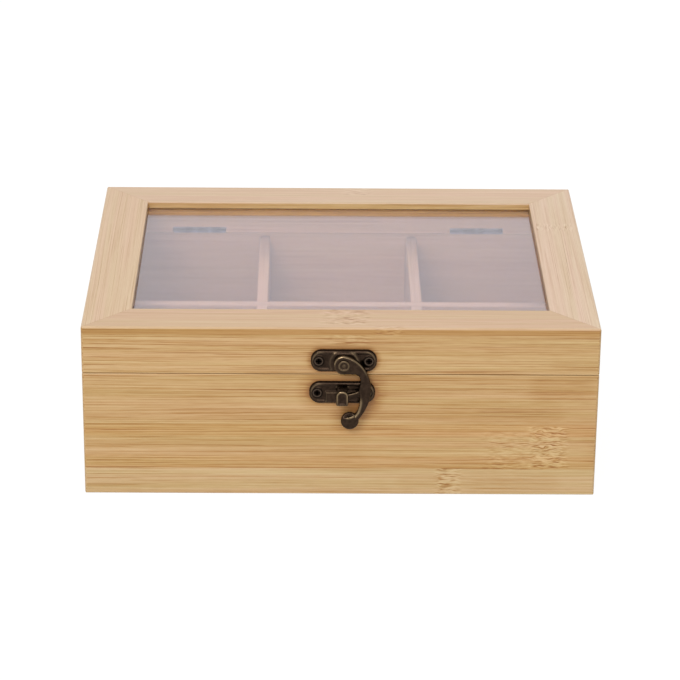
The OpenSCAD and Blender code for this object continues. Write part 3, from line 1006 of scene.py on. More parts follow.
def ribbon(
    inner: np.ndarray,
    outer: np.ndarray,
    steps: int,
    back: float,
    face: float | np.ndarray,
    bevel: float,
    crown: float,
    wear_and_light_at: RubAndLight,
    eye: tuple[int, float] = (0, 0.0),
) -> Shell:
    """Makes a flat bar between two edges, with a rounded front rim and an eased back.

    A point lies at the middle of its row plus its place across, from -1 to 1, times half the
    row's width, and its distance in is what is left of that half width. The face is lowered at
    the edge by a quarter round and rises inward by the crown times the root of the distance in.

    Args:
        inner, outer: the two edges, one point a row.
        steps: the number of points across the bar, closer together at its edges.
        back, face: heights of the bar's back and of its face, the face's also one for each row.
        bevel: radius of the front rim.
        crown: rise of the face towards its middle.
        wear_and_light_at: gives the wear and painted light from the distance in and the side, -1 to
            1.
        eye: how many of the first rows lie in a disc round the origin, and its radius. There
            the distance in is the radius less the distance to the origin.

    Returns:
        The closed bar.
    """
    back_ease, crown_reach = 0.3, 2.5
    across = np.sin(np.pi / 2 * np.linspace(-1, 1, steps))
    mid, half = (inner + outer) / 2, (outer - inner) / 2
    flat = mid[:, None] + across[None, :, None] * half[:, None]
    d = np.linalg.norm(half, axis=-1)[:, None] * (1 - np.abs(across))[None]
    rows, radius = eye
    d[:rows] = np.maximum(radius - np.linalg.norm(flat[:rows], axis=-1), 0)
    rise = crown * np.clip(d / crown_reach, 0, 1) ** 0.5
    top = face - crown + rise - round_drop(d, bevel)
    bottom = back + round_drop(d, back_ease)
    front_rows = np.concatenate([flat, top[..., None]], -1)
    back_rows = np.concatenate([flat, bottom[..., None]], -1)[:, ::-1]
    side = np.broadcast_to(across[None], d.shape)
    wear_and_painted_light = np.concatenate([wear_and_light_at(d, side), np.zeros_like(d)], 1)
    return Shell(np.concatenate([front_rows, back_rows], 1), wear_and_painted_light)


@dataclass(frozen=True)
class WearAndPaintedLight:
    """How strongly each place of the latch is rubbed bright or given a painted highlight, or
    darkened, where below nought, by patina and painted shade.
    """

    # Bright values are rubbed wear with painted highlights; the boss's edge, the pad's edge, the
    # specks beside the tongue's root, the tab's top, the back of the eye, the tail, its end on the
    # knob and the claw's edge are painted highlights. Dark values at the plate's foot, round the
    # screw seats, on the claw and in the knob's hollow are painted shade; the plate's field and the
    # middles of the tab and the eye are darker.
    shoulder_wear_and_highlight: float = 0.42
    plate_foot_shade: float = -0.75
    plate_field: float = -0.35
    screw_seat_shade: float = -0.6
    boss_left_highlight: float = 0.2
    boss_right_highlight: float = 0.4
    pad_edge_highlight: float = 0.28
    ear_highlights: float = 0.8
    tab_rim: float = 0.3
    tab_top_highlight: float = 0.55
    tab_middle: float = -0.2
    arm: float = 0.62
    tail: float = 0.85
    back_of_eye_highlight: float = 0.18
    eye_middle: float = -0.25
    claw: float = -0.35
    claw_edge_highlight: float = 0.55
    tail_end_highlight: float = 0.7
    knob_hollow_shade: float = -0.5


@dataclass
class SwingLatch:
    """The bronze latch: two plates, their screws, the rivet and the swing hook. Sizes in mm."""

    pivot: LatchPlace = LatchPlace(1.2, 62.65)
    upper: LatchPlace = LatchPlace(1.2, 63.35)
    lower: LatchPlace = LatchPlace(0.6, 48.65)
    half_len: float = 14.0
    half_wid: float = 5.0
    corner: float = 4.5
    plate_t: float = 1.6
    plate_rim: float = 1.0
    field_drop: float = 0.3
    dish: float = 0.5
    boss_r: float = 6.2
    boss_rise: float = 0.5
    pad_half: float = 7.1
    pad_top: float = 0.6
    # where the painted highlight specks lie beside the tongue's root
    ear: tuple[float, float] = (2.45, 2.8)  # the bright specks beside the tongue's root
    screw_x: float = 10.65
    head_r: float = 2.0
    eye_r: float = 4.35
    hook_back: float = 2.2
    hook_face: float = 4.6
    bow: float = 11.65
    arm_w: float = 5.4
    drop: float = 25.9
    knob: tuple[float, float] = (2.7, -25.9)
    knob_r: float = 3.85
    knob_rim: float = 1.5
    knob_face: float = 5.4
    hollow_depth: float = 1.1
    claw_r: float = 13.7
    claw_w: float = 2.7
    claw_t: float = 1.8
    claw_arc: tuple[float, float] = (-99.0, -52.0)
    tongue_w: float = 5.2
    tongue_t: float = 1.2
    tongue_len: float = 7.0
    tongue_play: tuple[float, float] = (1.0, 0.5)  # over the claw, and in front of it
    tab_rim: float = 0.8
    tab_hollow: float = 0.18
    # the wear, painted highlights and painted shade of the latch
    worn_and_painted_light: WearAndPaintedLight = WearAndPaintedLight()
    finish: AgedBronze = field(default_factory=lambda: AgedBronze("aged_bronze"))

    @property
    def tongue_top(self) -> float:
        """The height of the tongue's top over the lower plate's middle, a play above the claw."""
        claw_low = self.pivot.z - self.claw_r
        return claw_low + self.tongue_play[0] + self.tongue_t - self.lower.z

    @property
    def tongue_back(self) -> float:
        """How far the back of the tongue's tab stands off the wood, a play in front of the claw."""
        return self.hook_back + self.claw_t + self.tongue_play[1]

    def round_boss(self, x: np.ndarray, y: np.ndarray) -> tuple[np.ndarray, np.ndarray]:
        """Works out the upper plate's round boss, which the hook turns on.

        Its share steps from 1 to 0 where the distance to the rivet passes the boss's radius. Its
        wear is a painted highlight: a bell on that circle, faint at the left and stronger at the
        upper right.

        Args:
            x, y: places on the plate.

        Returns:
            The boss's share and its painted highlight.
        """
        far = np.hypot(x, y + (self.upper.z - self.pivot.z))
        # painted highlight on the boss's edge, faint at the left and stronger at the upper right
        sides = self.worn_and_painted_light.boss_left_highlight * smooth(-0.5, -3.0, x)
        sides = sides + self.worn_and_painted_light.boss_right_highlight * smooth(2.5, 4.5, x + 0.6 * y)
        share = smooth(self.boss_r + 0.7, self.boss_r - 0.5, far)
        return share, near(far, self.boss_r - 0.1, 0.5) * sides

    def square_pad(self, x: np.ndarray, y: np.ndarray) -> tuple[np.ndarray, np.ndarray]:
        """Works out the lower plate's square pad.

        Its share steps from 0 to 1 with the distance in from its sides and top. Its wear is a
        painted highlight: a bell along the left side and the top, and a speck on each side of the
        tongue's root.

        Args:
            x, y: places on the plate.

        Returns:
            The pad's share and its painted highlights.
        """
        side, top = self.pad_half - np.abs(x), self.pad_top - y
        inside = np.minimum(side, top)
        # painted highlights along the pad's left side and top, and specks beside the tongue's root
        edge = np.maximum(near(side, 0.1, 0.35) * smooth(0.5, -0.5, x), near(top, 0.1, 0.3))
        ear_highlights = near(np.hypot(np.abs(x) - self.ear[0], y - self.ear[1]), 0.0, 0.5)
        worn_and_painted_light = self.worn_and_painted_light.pad_edge_highlight * edge * smooth(-0.3, 0.2, inside) + self.worn_and_painted_light.ear_highlights * ear_highlights
        return smooth(-0.4, 0.5, inside), worn_and_painted_light

    def plate_face(self, boss: Boss) -> tuple[Field, Field]:
        """Gives the face of a stamped plate: a rounded rim, a shallow field inside it, and a boss.

        Args:
            boss: gives the boss's share and painted highlight from x and y.

        Returns:
            The height and the wear with its painted highlights and painted shade, as functions of
            x, y and the distance to the outline.
        """

        def to_screw(x: np.ndarray, y: np.ndarray) -> np.ndarray:
            """Returns the distance to the nearer screw."""
            return np.hypot(np.abs(x) - self.screw_x, y)

        def height(x: np.ndarray, y: np.ndarray, d: np.ndarray) -> np.ndarray:
            """Works out the height of the face above the wood.

            It is the plate's thickness less the quarter round of the rim and the field's drop,
            plus the boss's share of its rise, less a dish under each screw's head.

            Args:
                x, y: places on the plate.
                d: the distances to the outline.

            Returns:
                The heights.
            """
            rim = self.plate_t - round_drop(d, self.plate_rim)
            drop = self.field_drop * smooth(1.2, 2.0, d)
            lift = boss(x, y)[0] * (self.boss_rise + drop) * smooth(0.3, 1.6, d)
            seat = smooth(self.head_r + 1.0, self.head_r + 0.2, to_screw(x, y))
            dish = smooth(self.head_r + 0.1, self.head_r - 0.2, to_screw(x, y))
            return rim - drop * (1 - seat) + lift - self.dish * dish

        def wear_and_painted_light(x: np.ndarray, y: np.ndarray, d: np.ndarray) -> np.ndarray:
            """Works out the wear and painted light: shoulders rubbed bright with a painted
            highlight, the boss's painted highlight, painted shade at the foot and round the seats,
            and the field dark.

            Args:
                x, y: places on the plate.
                d: the distances to the outline.

            Returns:
                The wear and painted light, from -1 to 1.
            """
            share, rubbed_and_highlit = boss(x, y)
            ends = smooth(7.0, 11.5, np.abs(x)) * smooth(-3.5, 1.0, y)
            # rubbed shoulders with a painted highlight at the ends, painted shade at the foot and
            # round the screw seats, and a darker field
            shoulder_wear_and_highlight = self.worn_and_painted_light.shoulder_wear_and_highlight * near(d, 0.95, 0.32) * ends
            foot = self.worn_and_painted_light.plate_foot_shade * smooth(0.55, 0.1, d)
            field_dark = self.worn_and_painted_light.plate_field * smooth(1.2, 1.9, d) * (1 - share)
            seat = self.worn_and_painted_light.screw_seat_shade * near(to_screw(x, y), self.head_r + 0.15, 0.3)
            total = shoulder_wear_and_highlight + rubbed_and_highlit * smooth(0.2, 0.9, d) + foot + field_dark + seat
            return np.clip(total, -1, 1)

        return height, wear_and_painted_light

    def piece(
        self, node: str, kind: str, shells: list[Shell], place: LatchPlace, body: str
    ) -> Piece:
        """Returns the bronze piece that stands for a CAD node, not built yet."""
        finish = self.finish.material()
        return Piece(f"{node}_{kind}", shells, place, finish, body, Slot.BRONZE, (node,))

    def plate(self, boss: Boss) -> Shell:
        """Makes one stamped plate.

        Args:
            boss: gives its boss's share and painted highlight from x and y.

        Returns:
            The closed plate.
        """
        outline = Outline(self.half_len, self.half_wid, (self.corner,) * 4)
        insets = rim_insets(1.1, 10, 1.25, self.half_wid - 0.1, 22)
        return relief(outline, insets, 0.0, *self.plate_face(boss))

    def tab(self) -> Shell:
        """Makes the tab of the catch's tongue, which hangs down before the claw.

        It is a relief lying along x, whose height is flat with a quarter-round rim and a slight
        hollow inside it, turned by a quarter so that its round end is at the top.

        Returns:
            The closed tab.
        """
        top, back, half = self.tongue_top, self.tongue_back, self.tongue_w / 2
        outline = Outline(self.tongue_len / 2, half, (2.5, 0.9, 0.9, 2.5), line_steps=(20, 8))
        face = back + self.tongue_t

        def height(x: np.ndarray, y: np.ndarray, d: np.ndarray) -> np.ndarray:
            """Returns the height of the tab's face."""
            return face - round_drop(d, self.tab_rim) - self.tab_hollow * smooth(0.8, 1.6, d)

        def wear_and_painted_light(x: np.ndarray, y: np.ndarray, d: np.ndarray) -> np.ndarray:
            """Returns the wear with a painted highlight round the rim, strongest round the top, and
            the dark middle of the tab.
            """
            rim = self.worn_and_painted_light.tab_rim + self.worn_and_painted_light.tab_top_highlight * smooth(-3.6, 0.8, x)
            return near(d, 0.45, 0.3) * rim + self.worn_and_painted_light.tab_middle * smooth(1.0, 1.8, d)

        tab = relief(outline, rim_insets(0.9, 9, 1.0, half - 0.1, 9), back, height, wear_and_painted_light)
        x, y, z = np.moveaxis(tab.points, -1, 0)
        tab.points = np.stack([-y, x + top - self.tongue_len / 2, z], -1)
        return tab

    def root(self) -> Shell:
        """Makes the root of the catch's tongue, which leans out from the plate's top edge.

        Its middle line is a cubic curve, and its section a rectangle with rounded corners: half
        the width and half the thickness times the sign of the cosine and of the sine of an angle
        and a low power of their sizes. The section stands square to the line.

        Returns:
            The closed bar.
        """
        top, back = self.tongue_top, self.tongue_back
        edge, rise, squareness = self.half_wid, self.plate_t - 0.7, 0.35
        path = np.array([
            [edge - 1.5, rise - 0.5],
            [edge - 0.7, rise + 0.3],
            [top - 1.0, back - 0.2],
            [top - 1.35, back + 0.7],
        ])
        line = cubic(*path, np.linspace(0, 1, 15))
        way = np.gradient(line, axis=0)
        way /= np.linalg.norm(way, axis=1)[:, None]
        side = np.stack([-way[:, 1], way[:, 0]], -1)
        a = np.linspace(0, 2 * np.pi, 28, endpoint=False)
        round_x, round_y = (np.sign(f) * np.abs(f) ** squareness for f in (np.cos(a), np.sin(a)))
        round_x, round_y = round_x * (self.tongue_w / 2 - 0.55), round_y * self.tongue_t / 2
        ring = line[:, None] + round_y[None, :, None] * side[:, None]
        x = np.broadcast_to(round_x, ring.shape[:2])
        bar = np.stack([x, ring[..., 0], ring[..., 1]], -1)
        ends = [end.mean(1, keepdims=True).repeat(len(a), 1) for end in (bar[:1], bar[-1:])]
        bar = np.concatenate([ends[0], bar, ends[1]])
        return Shell(bar, np.zeros(bar.shape[:2]))

    def arm(self) -> Shell:
        """Makes the hook's eye and arm as one bar.

        Each edge is a quarter of the eye's circle and then two cubic curves, by the bow and the
        drop, and the bar is the ribbon between them. The face rises to the knob's over the tail.

        Returns:
            The closed bar.
        """
        r, b, h = self.eye_r, self.bow, self.drop
        knob = np.array(self.knob)
        out_mid, in_mid = np.array([b, -0.453 * h]), np.array([b - self.arm_w, -0.467 * h])
        out_end, in_end = knob + [0.7, -1.7], knob + [-0.6, 1.4]
        t = np.linspace(0, 1, 34)
        a = np.linspace(np.pi / 2, 0, 24)[:-1]
        eye_x, eye_half = -r * np.sin(a), r * np.cos(a)
        outer = np.concatenate([
            np.stack([eye_x, eye_half], -1),
            cubic([0, r], [0.68 * b, 0.62 * r], [b, -0.2 * h], out_mid, t),
            cubic(out_mid, [b - 0.1, -0.69 * h], [0.7 * b, -0.954 * h], out_end, t)[1:],
        ])
        inner = np.concatenate([
            np.stack([eye_x, -eye_half], -1),
            cubic([0, -r], [0.42 * b, -r], [0.75 * b, -0.104 * h], in_mid, t),
            cubic(in_mid, in_mid + [1.4, -4.9], knob + [4.2, 2.6], in_end, t)[1:],
        ])

        def worn_and_painted_light(far: np.ndarray, side: np.ndarray) -> np.ndarray:
            """Works out the wear with painted highlights: the outer edge down to the bow, and the
            tail's inner edge.

            Args:
                far: the distances to the edge.
                side: places across the bar, -1 to 1.

            Returns:
                Bells of wear and painted highlight along the edges, less a dark middle of the eye.
            """
            row = np.linspace(0, 1, len(far))[:, None] * np.ones_like(far)
            # painted highlights along the upper outer edge, the back of the eye and the tail's
            # inner edge, over rubbed wear
            upper = smooth(-0.2, 0.4, side) * smooth(0.55, 0.4, row)
            tail = self.worn_and_painted_light.tail * smooth(0.2, -0.4, side) * smooth(0.68, 0.76, row)
            eye = self.worn_and_painted_light.back_of_eye_highlight * smooth(0.3, 0.22, row)
            line = near(far, 0.4, 0.3) * (self.worn_and_painted_light.arm * upper + eye) + near(far, 0.5, 0.5) * tail
            middle = self.worn_and_painted_light.eye_middle * smooth(0.8, 2.0, far) * smooth(0.32, 0.2, row)
            return np.clip(line, 0, 1) + middle

        over_tail = smooth(0.78, 0.97, np.linspace(0, 1, len(outer)))[:, None]
        face = self.hook_face + (self.knob_face - self.hook_face) * over_tail
        return ribbon(inner, outer, 41, self.hook_back, face, 0.8, 0.15, worn_and_painted_light, (len(a), r))

    def claw(self) -> Shell:
        """Makes the claw: a ribbon between two circles round the pivot, with a round end.

        Its half width is the whole one times the root of 1 less the square of what is left to
        the end, over the first eighth of its length.

        Returns:
            The closed bar.
        """
        a = np.radians(np.linspace(*self.claw_arc, 26))
        ray = np.stack([np.cos(a), np.sin(a)], -1)
        left = 1 - np.clip(np.linspace(0, 8, len(a)), 0, 1)
        taper = np.sqrt(np.clip(1 - left**2, 0.0, 1))[:, None]
        middle, reach = self.claw_r + self.claw_w / 2, self.claw_w / 2

        def worn_and_painted_light(far: np.ndarray, side: np.ndarray) -> np.ndarray:
            """Returns a painted highlight along the edge towards the pivot, and painted shade over
            the rest.
            """
            edge = self.worn_and_painted_light.claw_edge_highlight * near(far, 0.35, 0.4) * smooth(-0.3, 0.5, side)
            return edge + self.worn_and_painted_light.claw

        edges = ray * (middle + reach * taper), ray * (middle - reach * taper)
        back, face = self.hook_back, self.hook_back + self.claw_t
        return ribbon(*edges, 21, back, face, 0.5, 0.1, worn_and_painted_light)

    def knob_shell(self) -> Shell:
        """Makes the knob: a full round rim, and a face left higher where the arm's tail runs over.

        The turned profile is a quarter circle out from the flat back, a quarter circle in to the
        face, and the flat face. The face above the tail's edge, a line that bends upward by the
        square of x, is then sunk by the hollow's depth times smooth steps.

        Returns:
            The closed knob.
        """
        back, face, rim = self.hook_back - 0.4, self.knob_face, self.knob_rim
        a = np.linspace(0, np.pi / 2, 12)
        low_r, low_z = self.knob_r - rim + rim * np.sin(a), back + rim - rim * np.cos(a)
        top_r, top_z = self.knob_r - rim + rim * np.cos(a), face - rim + rim * np.sin(a)
        disc_r = np.linspace(self.knob_r - rim, 0, 14)[1:]
        radii = np.concatenate([[0], low_r, top_r, disc_r])
        heights = np.concatenate([[back], low_z, top_z, np.full(len(disc_r), face)])
        shell = lathe(radii, heights, np.zeros(len(radii)), 96)
        x, y, z = np.moveaxis(shell.points, -1, 0)
        above = y - (2.05 + 0.2 * x + 0.19 * np.maximum(x, 0) ** 2)
        inside = smooth(self.knob_r, self.knob_r - 1.3, np.hypot(x, y))
        hollow = smooth(-0.1, 0.8, above) * (0.35 + 0.65 * inside) * smooth(-3.6, -1.6, x)
        on_face = smooth(face - 1.3, face - 0.3, z)
        # a painted highlight along the tail's edge over the knob, and painted shade in the hollow
        # above it
        line = near(above, -0.15, 0.4) * smooth(-1.9, -0.6, x) * smooth(3.2, 2.2, x)
        dark = self.worn_and_painted_light.knob_hollow_shade * hollow * inside
        shell.wear_and_painted_light = (self.worn_and_painted_light.tail_end_highlight * line + dark) * on_face
        z = z - self.hollow_depth * hollow * on_face
        shell.points = np.stack([x + self.knob[0], y + self.knob[1], z], -1)
        return shell

    def rivet(self) -> Piece:
        """Makes the rivet: a shank and a low head with a raised ring round a rough hollow.

        The profile is turned, and the hollow gets dents that are products of sines of x and y.

        Returns:
            The piece, not built yet.
        """
        head = self.hook_face + 0.1
        profile = np.array([
            # radius, height over the head's foot, wear: rubbed with painted highlights on the
            # raised ring and the middle, painted shade at the head's foot and inside the ring
            [0, -head, 0], [1.3, -head, 0], [1.3, 0, 0], [2.5, 0, -0.3], [2.5, 0.3, 0.0],
            [2.42, 0.45, 0.2], [2.2, 0.57, 0.35], [1.95, 0.6, 0.35], [1.7, 0.55, 0.2],
            [1.5, 0.42, -0.1], [1.3, 0.32, -0.2], [1.0, 0.3, 0.0], [0.6, 0.33, 0.2],
            [0.3, 0.36, 0.25], [0, 0.36, 0.25],
        ])
        shell = lathe(profile[:, 0], head + profile[:, 1], profile[:, 2], 64)
        x, y, z = np.moveaxis(shell.points, -1, 0)
        dents = 0.05 * np.sin(3.1 * x + 1.0) * np.sin(4.3 * y + 0.4)
        dents = (dents + 0.04 * np.sin(7.7 * x - 5.1 * y)) * smooth(2.5, 1.4, np.hypot(x, y))
        shell.points[..., 2] = z + np.where(z > head + 0.2, dents, 0)
        return replace(self.piece("hook_rivet", "peened", [shell], self.pivot, "lid"), crease=60.0)

    def build(self) -> None:
        """Builds every piece of the latch and dresses its screws."""
        latch = [self.plate(self.round_boss)]
        catch = [self.plate(self.square_pad), self.tab(), self.root()]
        hook = [self.arm(), self.claw(), self.knob_shell()]
        self.piece("latch_plate", "stamped", latch, self.upper, "lid").build()
        self.piece("catch_plate", "stamped", catch, self.lower, "box").build()
        self.piece("latch_hook", "cast", hook, self.pivot, "hook").build()
        self.rivet().build()
        for node, place in (("latch_plate_screws", self.upper), ("catch_plate_screws", self.lower)):
            dress(node, DrivenScrews("aged_" + node, (place.x, place.z), self.screw_x).material())


@dataclass(frozen=True)
class PlainWall:
    """A wall without the front's own marks: its node, grain, cane joint and inner colour."""

    node: str
    run: Axis
    knot: Knot
    inner_cast: Colour = (0.98, 0.96, 0.97)


@dataclass
class Carcass:
    """The box: four mitred walls on a bottom panel."""

    glue_lines: tuple[SlatLine, ...] = (SlatLine(12.5, 0.5), SlatLine(33.0, 0.25))
    # painted shade just under the seam, and a painted highlight on the wall's top arris
    seam_shade_and_highlight: tuple[SlatLine, ...] = (SlatLine(55.75, 0.2, True), SlatLine(56.35, -0.5, True))
    front_bands: tuple[Band, ...] = (
        # the bottom band is paler and cooler: painted light bounced up from the floor
        Band(-5.0, 12.4, -0.18, (0.99, 1.03, 1.1)),
        Band(12.5, 18.6, 0.1, (1.02, 1.0, 0.96)),
        Band(27.8, 33.2, 0.1, (1.03, 0.99, 0.93)),
        Band(52.5, 56.4, 0.06),
    )
    front_knots: tuple[Knot, ...] = (
        Knot(89.0, 22.7, 11.0, 10.6),
        Knot(76.0, 21.0, 19.0, 9.5, 0.4),
        Knot(46.5, 6.1, 7.0, 6.8, 0.9),
    )
    front_shade_patches: tuple[PaintedShadePatch, ...] = (
        # painted shade round the lower plate, under the knob and beside the hook's arm
        PaintedShadePatch(0.6, 48.65, strength=0.32),
        PaintedShadePatch(0.6, 48.65, reach=7.5, strength=0.33),
        PaintedShadePatch(3.9, 36.75, 0.5, 3.4, 6.5, 0.3),
        PaintedShadePatch(10.5, 43.0, 1.0, 2.0, 6.0, 0.3),
        # broad painted darker and paler patches across the front
        PaintedShadePatch(50.0, 38.5, 40.0, 2.0, 6.0, 0.12),
        PaintedShadePatch(58.0, 21.0, 42.0, 3.0, 7.0, -0.1),
        PaintedShadePatch(95.0, 50.0, 8.0, 2.0, 8.0, 0.2),
        PaintedShadePatch(60.0, 5.0, 30.0, 2.0, 6.0, 0.1),
    )
    plain_walls: tuple[PlainWall, ...] = (
        PlainWall("right_wall", Axis.Y, Knot(-52.0, 44.0, 11.0, 8.0)),
        PlainWall("back_wall", Axis.X, Knot(46.0, 8.0, 11.0, 8.0)),
        PlainWall("left_wall", Axis.Y, Knot(34.0, 22.0, 11.0, 8.0), (1.06, 0.96, 0.97)),
    )
    # a darker bottom, which also paints the shade at the bottoms of the compartments
    bottom_shade_cast: Colour = (0.88, 0.86, 0.86)
    slat_width: int = 20

    def build(self) -> None:
        """Dresses the walls and the bottom."""
        front = Bamboo(
            "bamboo_front_wall", Axis.X, Axis.Z, contrast=1.03, bands=self.front_bands,
            knots=self.front_knots, slat_lines=self.glue_lines + self.seam_shade_and_highlight,
            shade_patches=self.front_shade_patches, inner_tone=WALL_TONE,
        )
        dress("front_wall", front.material())
        for k, wall in enumerate(self.plain_walls, 1):
            bands = Band(9 + 3 * k, 16 + 3 * k, 0.1), Band(36 + k, 41 + k, 0.08)
            board = Bamboo(
                "bamboo_" + wall.node, wall.run, Axis.Z, contrast=0.8, seed=11.3 * k, bands=bands,
                knots=(wall.knot,), slat_lines=self.glue_lines,
                inner_tone=WALL_TONE.scaled(wall.inner_cast),
            )
            dress(wall.node, board.material())
        joints = tuple(SlatLine(float(y), 0.5) for y in range(-60, 61, self.slat_width))
        tone = WALL_TONE.scaled(self.bottom_shade_cast)
        bottom = Bamboo("bamboo_bottom", Axis.X, Axis.Y, tone, seed=71.0, slat_lines=joints)
        dress("bottom_panel", bottom.material())


@dataclass
class Dividers:
    """The three dividers that make six compartments."""

    boards: tuple[tuple[str, Axis, Colour], ...] = (
        ("left_divider", Axis.Y, (0.95, 0.91, 0.75)),
        ("right_divider", Axis.Y, (0.88, 0.85, 0.7)),
        ("long_divider", Axis.X, (0.92, 0.89, 0.75)),
    )

    def build(self) -> None:
        """Dresses the dividers, with the grain along each."""
        for k, (node, run, cast) in enumerate(self.boards):
            tone = FRAME_TONE.scaled(cast)
            board = Bamboo("bamboo_" + node, run, Axis.Z, tone, seed=31.0 + 7.3 * k)
            dress(node, board.material())


@dataclass(frozen=True)
class Rail:
    """A rail of the lid's frame: its grain, cane joints, colour cast and outer edge. The cast also
    paints the rail's sheen.
    """

    node: str
    run: Axis
    across: Axis
    cast: Colour
    edge: WoodTone = WALL_TONE
    knots: tuple[Knot, ...] = ()


@dataclass
class Lid:
    """The lid: four sides under a mitred frame, with the pane between."""

    front_knots: tuple[Knot, ...] = (Knot(3.0, 72.8, 11.0, 2.4, 0.4),)
    front_shade_patches: tuple[PaintedShadePatch, ...] = (
        # painted shade round the upper plate, and a broad painted paler patch along the lid's front
        PaintedShadePatch(1.2, 63.35),
        PaintedShadePatch(1.2, 62.5, reach=6.0, strength=0.12),
        PaintedShadePatch(52.0, 61.5, 34.0, 1.0, 6.0, -0.12),
    )
    # a painted highlight along the lid's foot by the seam
    lid_foot_highlight: tuple[SlatLine, ...] = (SlatLine(57.0, -0.45, True),)
    inner_cast: Colour = (1.08, 1.05, 1.03)
    # the casts of the right, back and left rails paint their sheen
    rails: tuple[Rail, ...] = (
        Rail(
            "frame_front_rail", Axis.X, Axis.Y, (1.01, 1.01, 1.02), EDGE_TONE,
            (Knot(2.0, -73.0, 13.0, 9.0, 0.8), Knot(20.0, -84.5, 8.0, 2.0, 0.6)),
        ),
        Rail(
            "frame_right_rail", Axis.Y, Axis.X, (1.13, 1.22, 1.42),
            knots=(Knot(34.0, 99.0, 6.0, 9.0, 0.5),),
        ),
        Rail(
            "frame_back_rail", Axis.X, Axis.Y, (1.08, 1.13, 1.26),
            WALL_TONE.scaled((1.15, 1.15, 1.12)), (Knot(9.0, 80.0, 9.0, 5.0, 0.7),),
        ),
        Rail("frame_left_rail", Axis.Y, Axis.X, (1.08, 1.13, 1.19)),
    )
    frame_foot: float = 74.8
    mitre: float = 25.0
    pane: ClearPane = field(default_factory=ClearPane)

    def build(self) -> None:
        """Dresses the sides, the rails and the pane."""
        for k, side in enumerate(("front", "right", "back", "left")):
            front = side == "front"
            run = Axis.X if side in ("front", "back") else Axis.Y
            board = Bamboo(
                f"bamboo_lid_{side}_side", run, Axis.Z, contrast=1.28 if front else 1.0,
                seed=43.0 + 5.1 * k, slat_lines=self.lid_foot_highlight,
                bands=(Band(70.0, 71.0, 0.2),) if front else (Band(62.0, 66.0, 0.1),),
                knots=self.front_knots if front else (),
                shade_patches=self.front_shade_patches if front else (),
                inner_tone=WALL_TONE.scaled(self.inner_cast),
                # painted light high on the back side's inside, under the frame
                painted_light_above=66.0 if side == "back" else None,
            )
            dress(f"lid_{side}_side", board.material())
        for k, rail in enumerate(self.rails):
            board = Bamboo(
                # the rail's cast also paints its sheen
                "bamboo_" + rail.node, rail.run, rail.across, FRAME_TONE.scaled(rail.cast), 0.8,
                # the frame's foot carries the painted shade line, fainter on the side rails
                83.0 + 6.7 * k, knots=rail.knots, edge_tone=rail.edge, foot=self.frame_foot,
                foot_shade_share=1.0 if rail.run is Axis.X else 0.45, mitre=self.mitre, roughness=0.38,
            )
            dress(rail.node, board.material())
        dress("window_pane", self.pane.material())


@dataclass
class Hinges:
    """The two butt hinges with their pins and screws."""

    finish: HingeSteel = field(default_factory=HingeSteel)

    def build(self) -> None:
        """Dresses the leaves, pins and screws in steel."""
        steel = self.finish.material()
        for side in ("left", "right"):
            for part in ("hinge_box_leaf", "hinge_lid_leaf", "hinge_pin"):
                dress(f"{side}_{part}", steel)
        for node in ("hinge_box_screws", "hinge_lid_screws"):
            dress(node, steel)


def stand(thing: bpy.types.Object, axes: Sequence[np.ndarray], at: Point) -> None:
    """Puts a lamp or a camera into the scene.

    Args:
        thing: the object.
        axes: the directions of its own X, Y and Z.
        at: where it stands.
    """
    turn = np.eye(4)
    turn[:3] = np.stack([*axes, np.array(at)], -1)
    thing.matrix_world = Matrix(turn.tolist())
    bpy.context.scene.collection.objects.link(thing)


@dataclass(frozen=True)
class Lamp:
    """A soft square lamp that looks at a point of the box."""

    name: str
    at: Point
    size: float
    watts: float
    target: Point = (0.0, 0.0, 0.04)

    def build(self) -> None:
        """Hangs the lamp."""
        data = bpy.data.lights.new(self.name, "AREA")
        data.shape, data.size, data.energy = "SQUARE", self.size, self.watts
        lamp = bpy.data.objects.new(self.name, data)
        lamp.visible_camera = False
        away = np.array(self.at) - np.array(self.target)
        z = away / np.linalg.norm(away)
        x = np.cross([0, 0, 1], z)
        x = x / np.linalg.norm(x)
        stand(lamp, (x, np.cross(z, x), z), self.at)


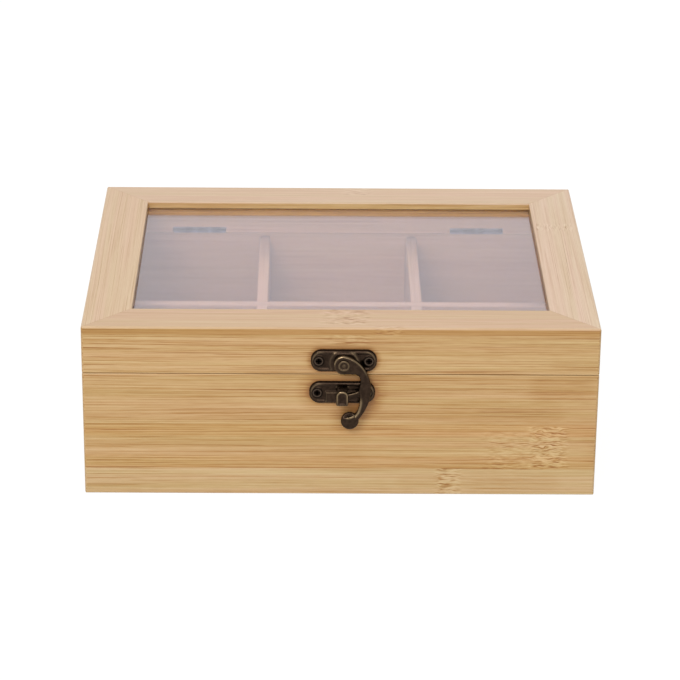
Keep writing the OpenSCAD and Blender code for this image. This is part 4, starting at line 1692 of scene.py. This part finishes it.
@dataclass
class Studio:
    """Pale floor, white surround, soft lamps and the camera."""

    eye: Point = (-0.01355, -1.18548, 0.54985)
    right: Point = (0.999929, -0.008001, 0.008871)
    up: Point = (-0.004955, 0.397938, 0.917397)
    lens: float = 150.34
    sensor: float = 36.0
    far: float = 20.0
    ambient: float = 0.55
    floor_half: float = 4.0
    floor_glow: float = 0.93
    faint: Colour = (0.12, 0.12, 0.12)
    plain: Colour = (0.75, 0.75, 0.75)
    lamps: tuple[Lamp, ...] = (
        Lamp("key_lamp", (-0.5, -1.2, 1.05), 0.6, 9.0),
        Lamp("top_lamp", (0.3, 0.9, 1.55), 1.0, 6.5),
        Lamp("front_lamp", (0.1, -1.65, 0.55), 0.8, 5.4),
    )

    def camera(self) -> None:
        """Sets up the camera at the viewing angle of the photograph."""
        data = bpy.data.cameras.new("camera")
        data.lens, data.sensor_width, data.clip_end = self.lens, self.sensor, self.far
        camera = bpy.data.objects.new("camera", data)
        x, y = np.array(self.right), np.array(self.up)
        stand(camera, (x, y, np.cross(x, y)), self.eye)
        bpy.context.scene.camera = camera

    def world(self) -> None:
        """Makes the surround: white where it is seen or mirrored, softer where it lights."""
        world = bpy.data.worlds.new("studio")
        bpy.context.scene.world = world
        g = Graph(world)
        soft, white = (
            g.shader("Background", {"Color": (1.0, 1.0, 1.0), "Strength": strength})
            for strength in (self.ambient, 1.0)
        )
        g.end(g.shader("MixShader", {0: g.seen(), 1: soft, 2: white}))

    def floor(self) -> None:
        """Lays the floor: nearly white by its own glow where it is seen, with a faint shadow."""
        half = self.floor_half
        corners = [(-half, -half, 0), (half, -half, 0), (half, half, 0), (-half, half, 0)]
        mesh = bpy.data.meshes.new("floor")
        mesh.from_pydata(corners, [], [(0, 1, 2, 3)])
        floor = bpy.data.objects.new("floor", mesh)
        bpy.context.scene.collection.objects.link(floor)
        g = Graph.of("floor")
        glow = g.shader("Emission", {"Color": (1.0, 1.0, 1.0), "Strength": self.floor_glow})
        faint, plain = (g.shader("BsdfDiffuse", {"Color": c}) for c in (self.faint, self.plain))
        shadowed = g.shader("AddShader", {0: glow, 1: faint})
        mesh.materials.append(g.end(g.shader("MixShader", {0: g.seen(), 1: plain, 2: shadowed})))

    def build(self) -> None:
        """Builds the studio."""
        self.camera()
        self.world()
        self.floor()
        for lamp in self.lamps:
            lamp.build()
        bpy.context.scene.view_settings.view_transform = "Standard"


def main() -> None:
    """Builds the whole scene in order."""
    logging.basicConfig(level=logging.INFO, format="%(name)s: %(message)s")
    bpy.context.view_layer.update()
    Studio().build()
    Carcass().build()
    Dividers().build()
    Lid().build()
    Hinges().build()
    SwingLatch().build()


if __name__ == "__main__":
    main()
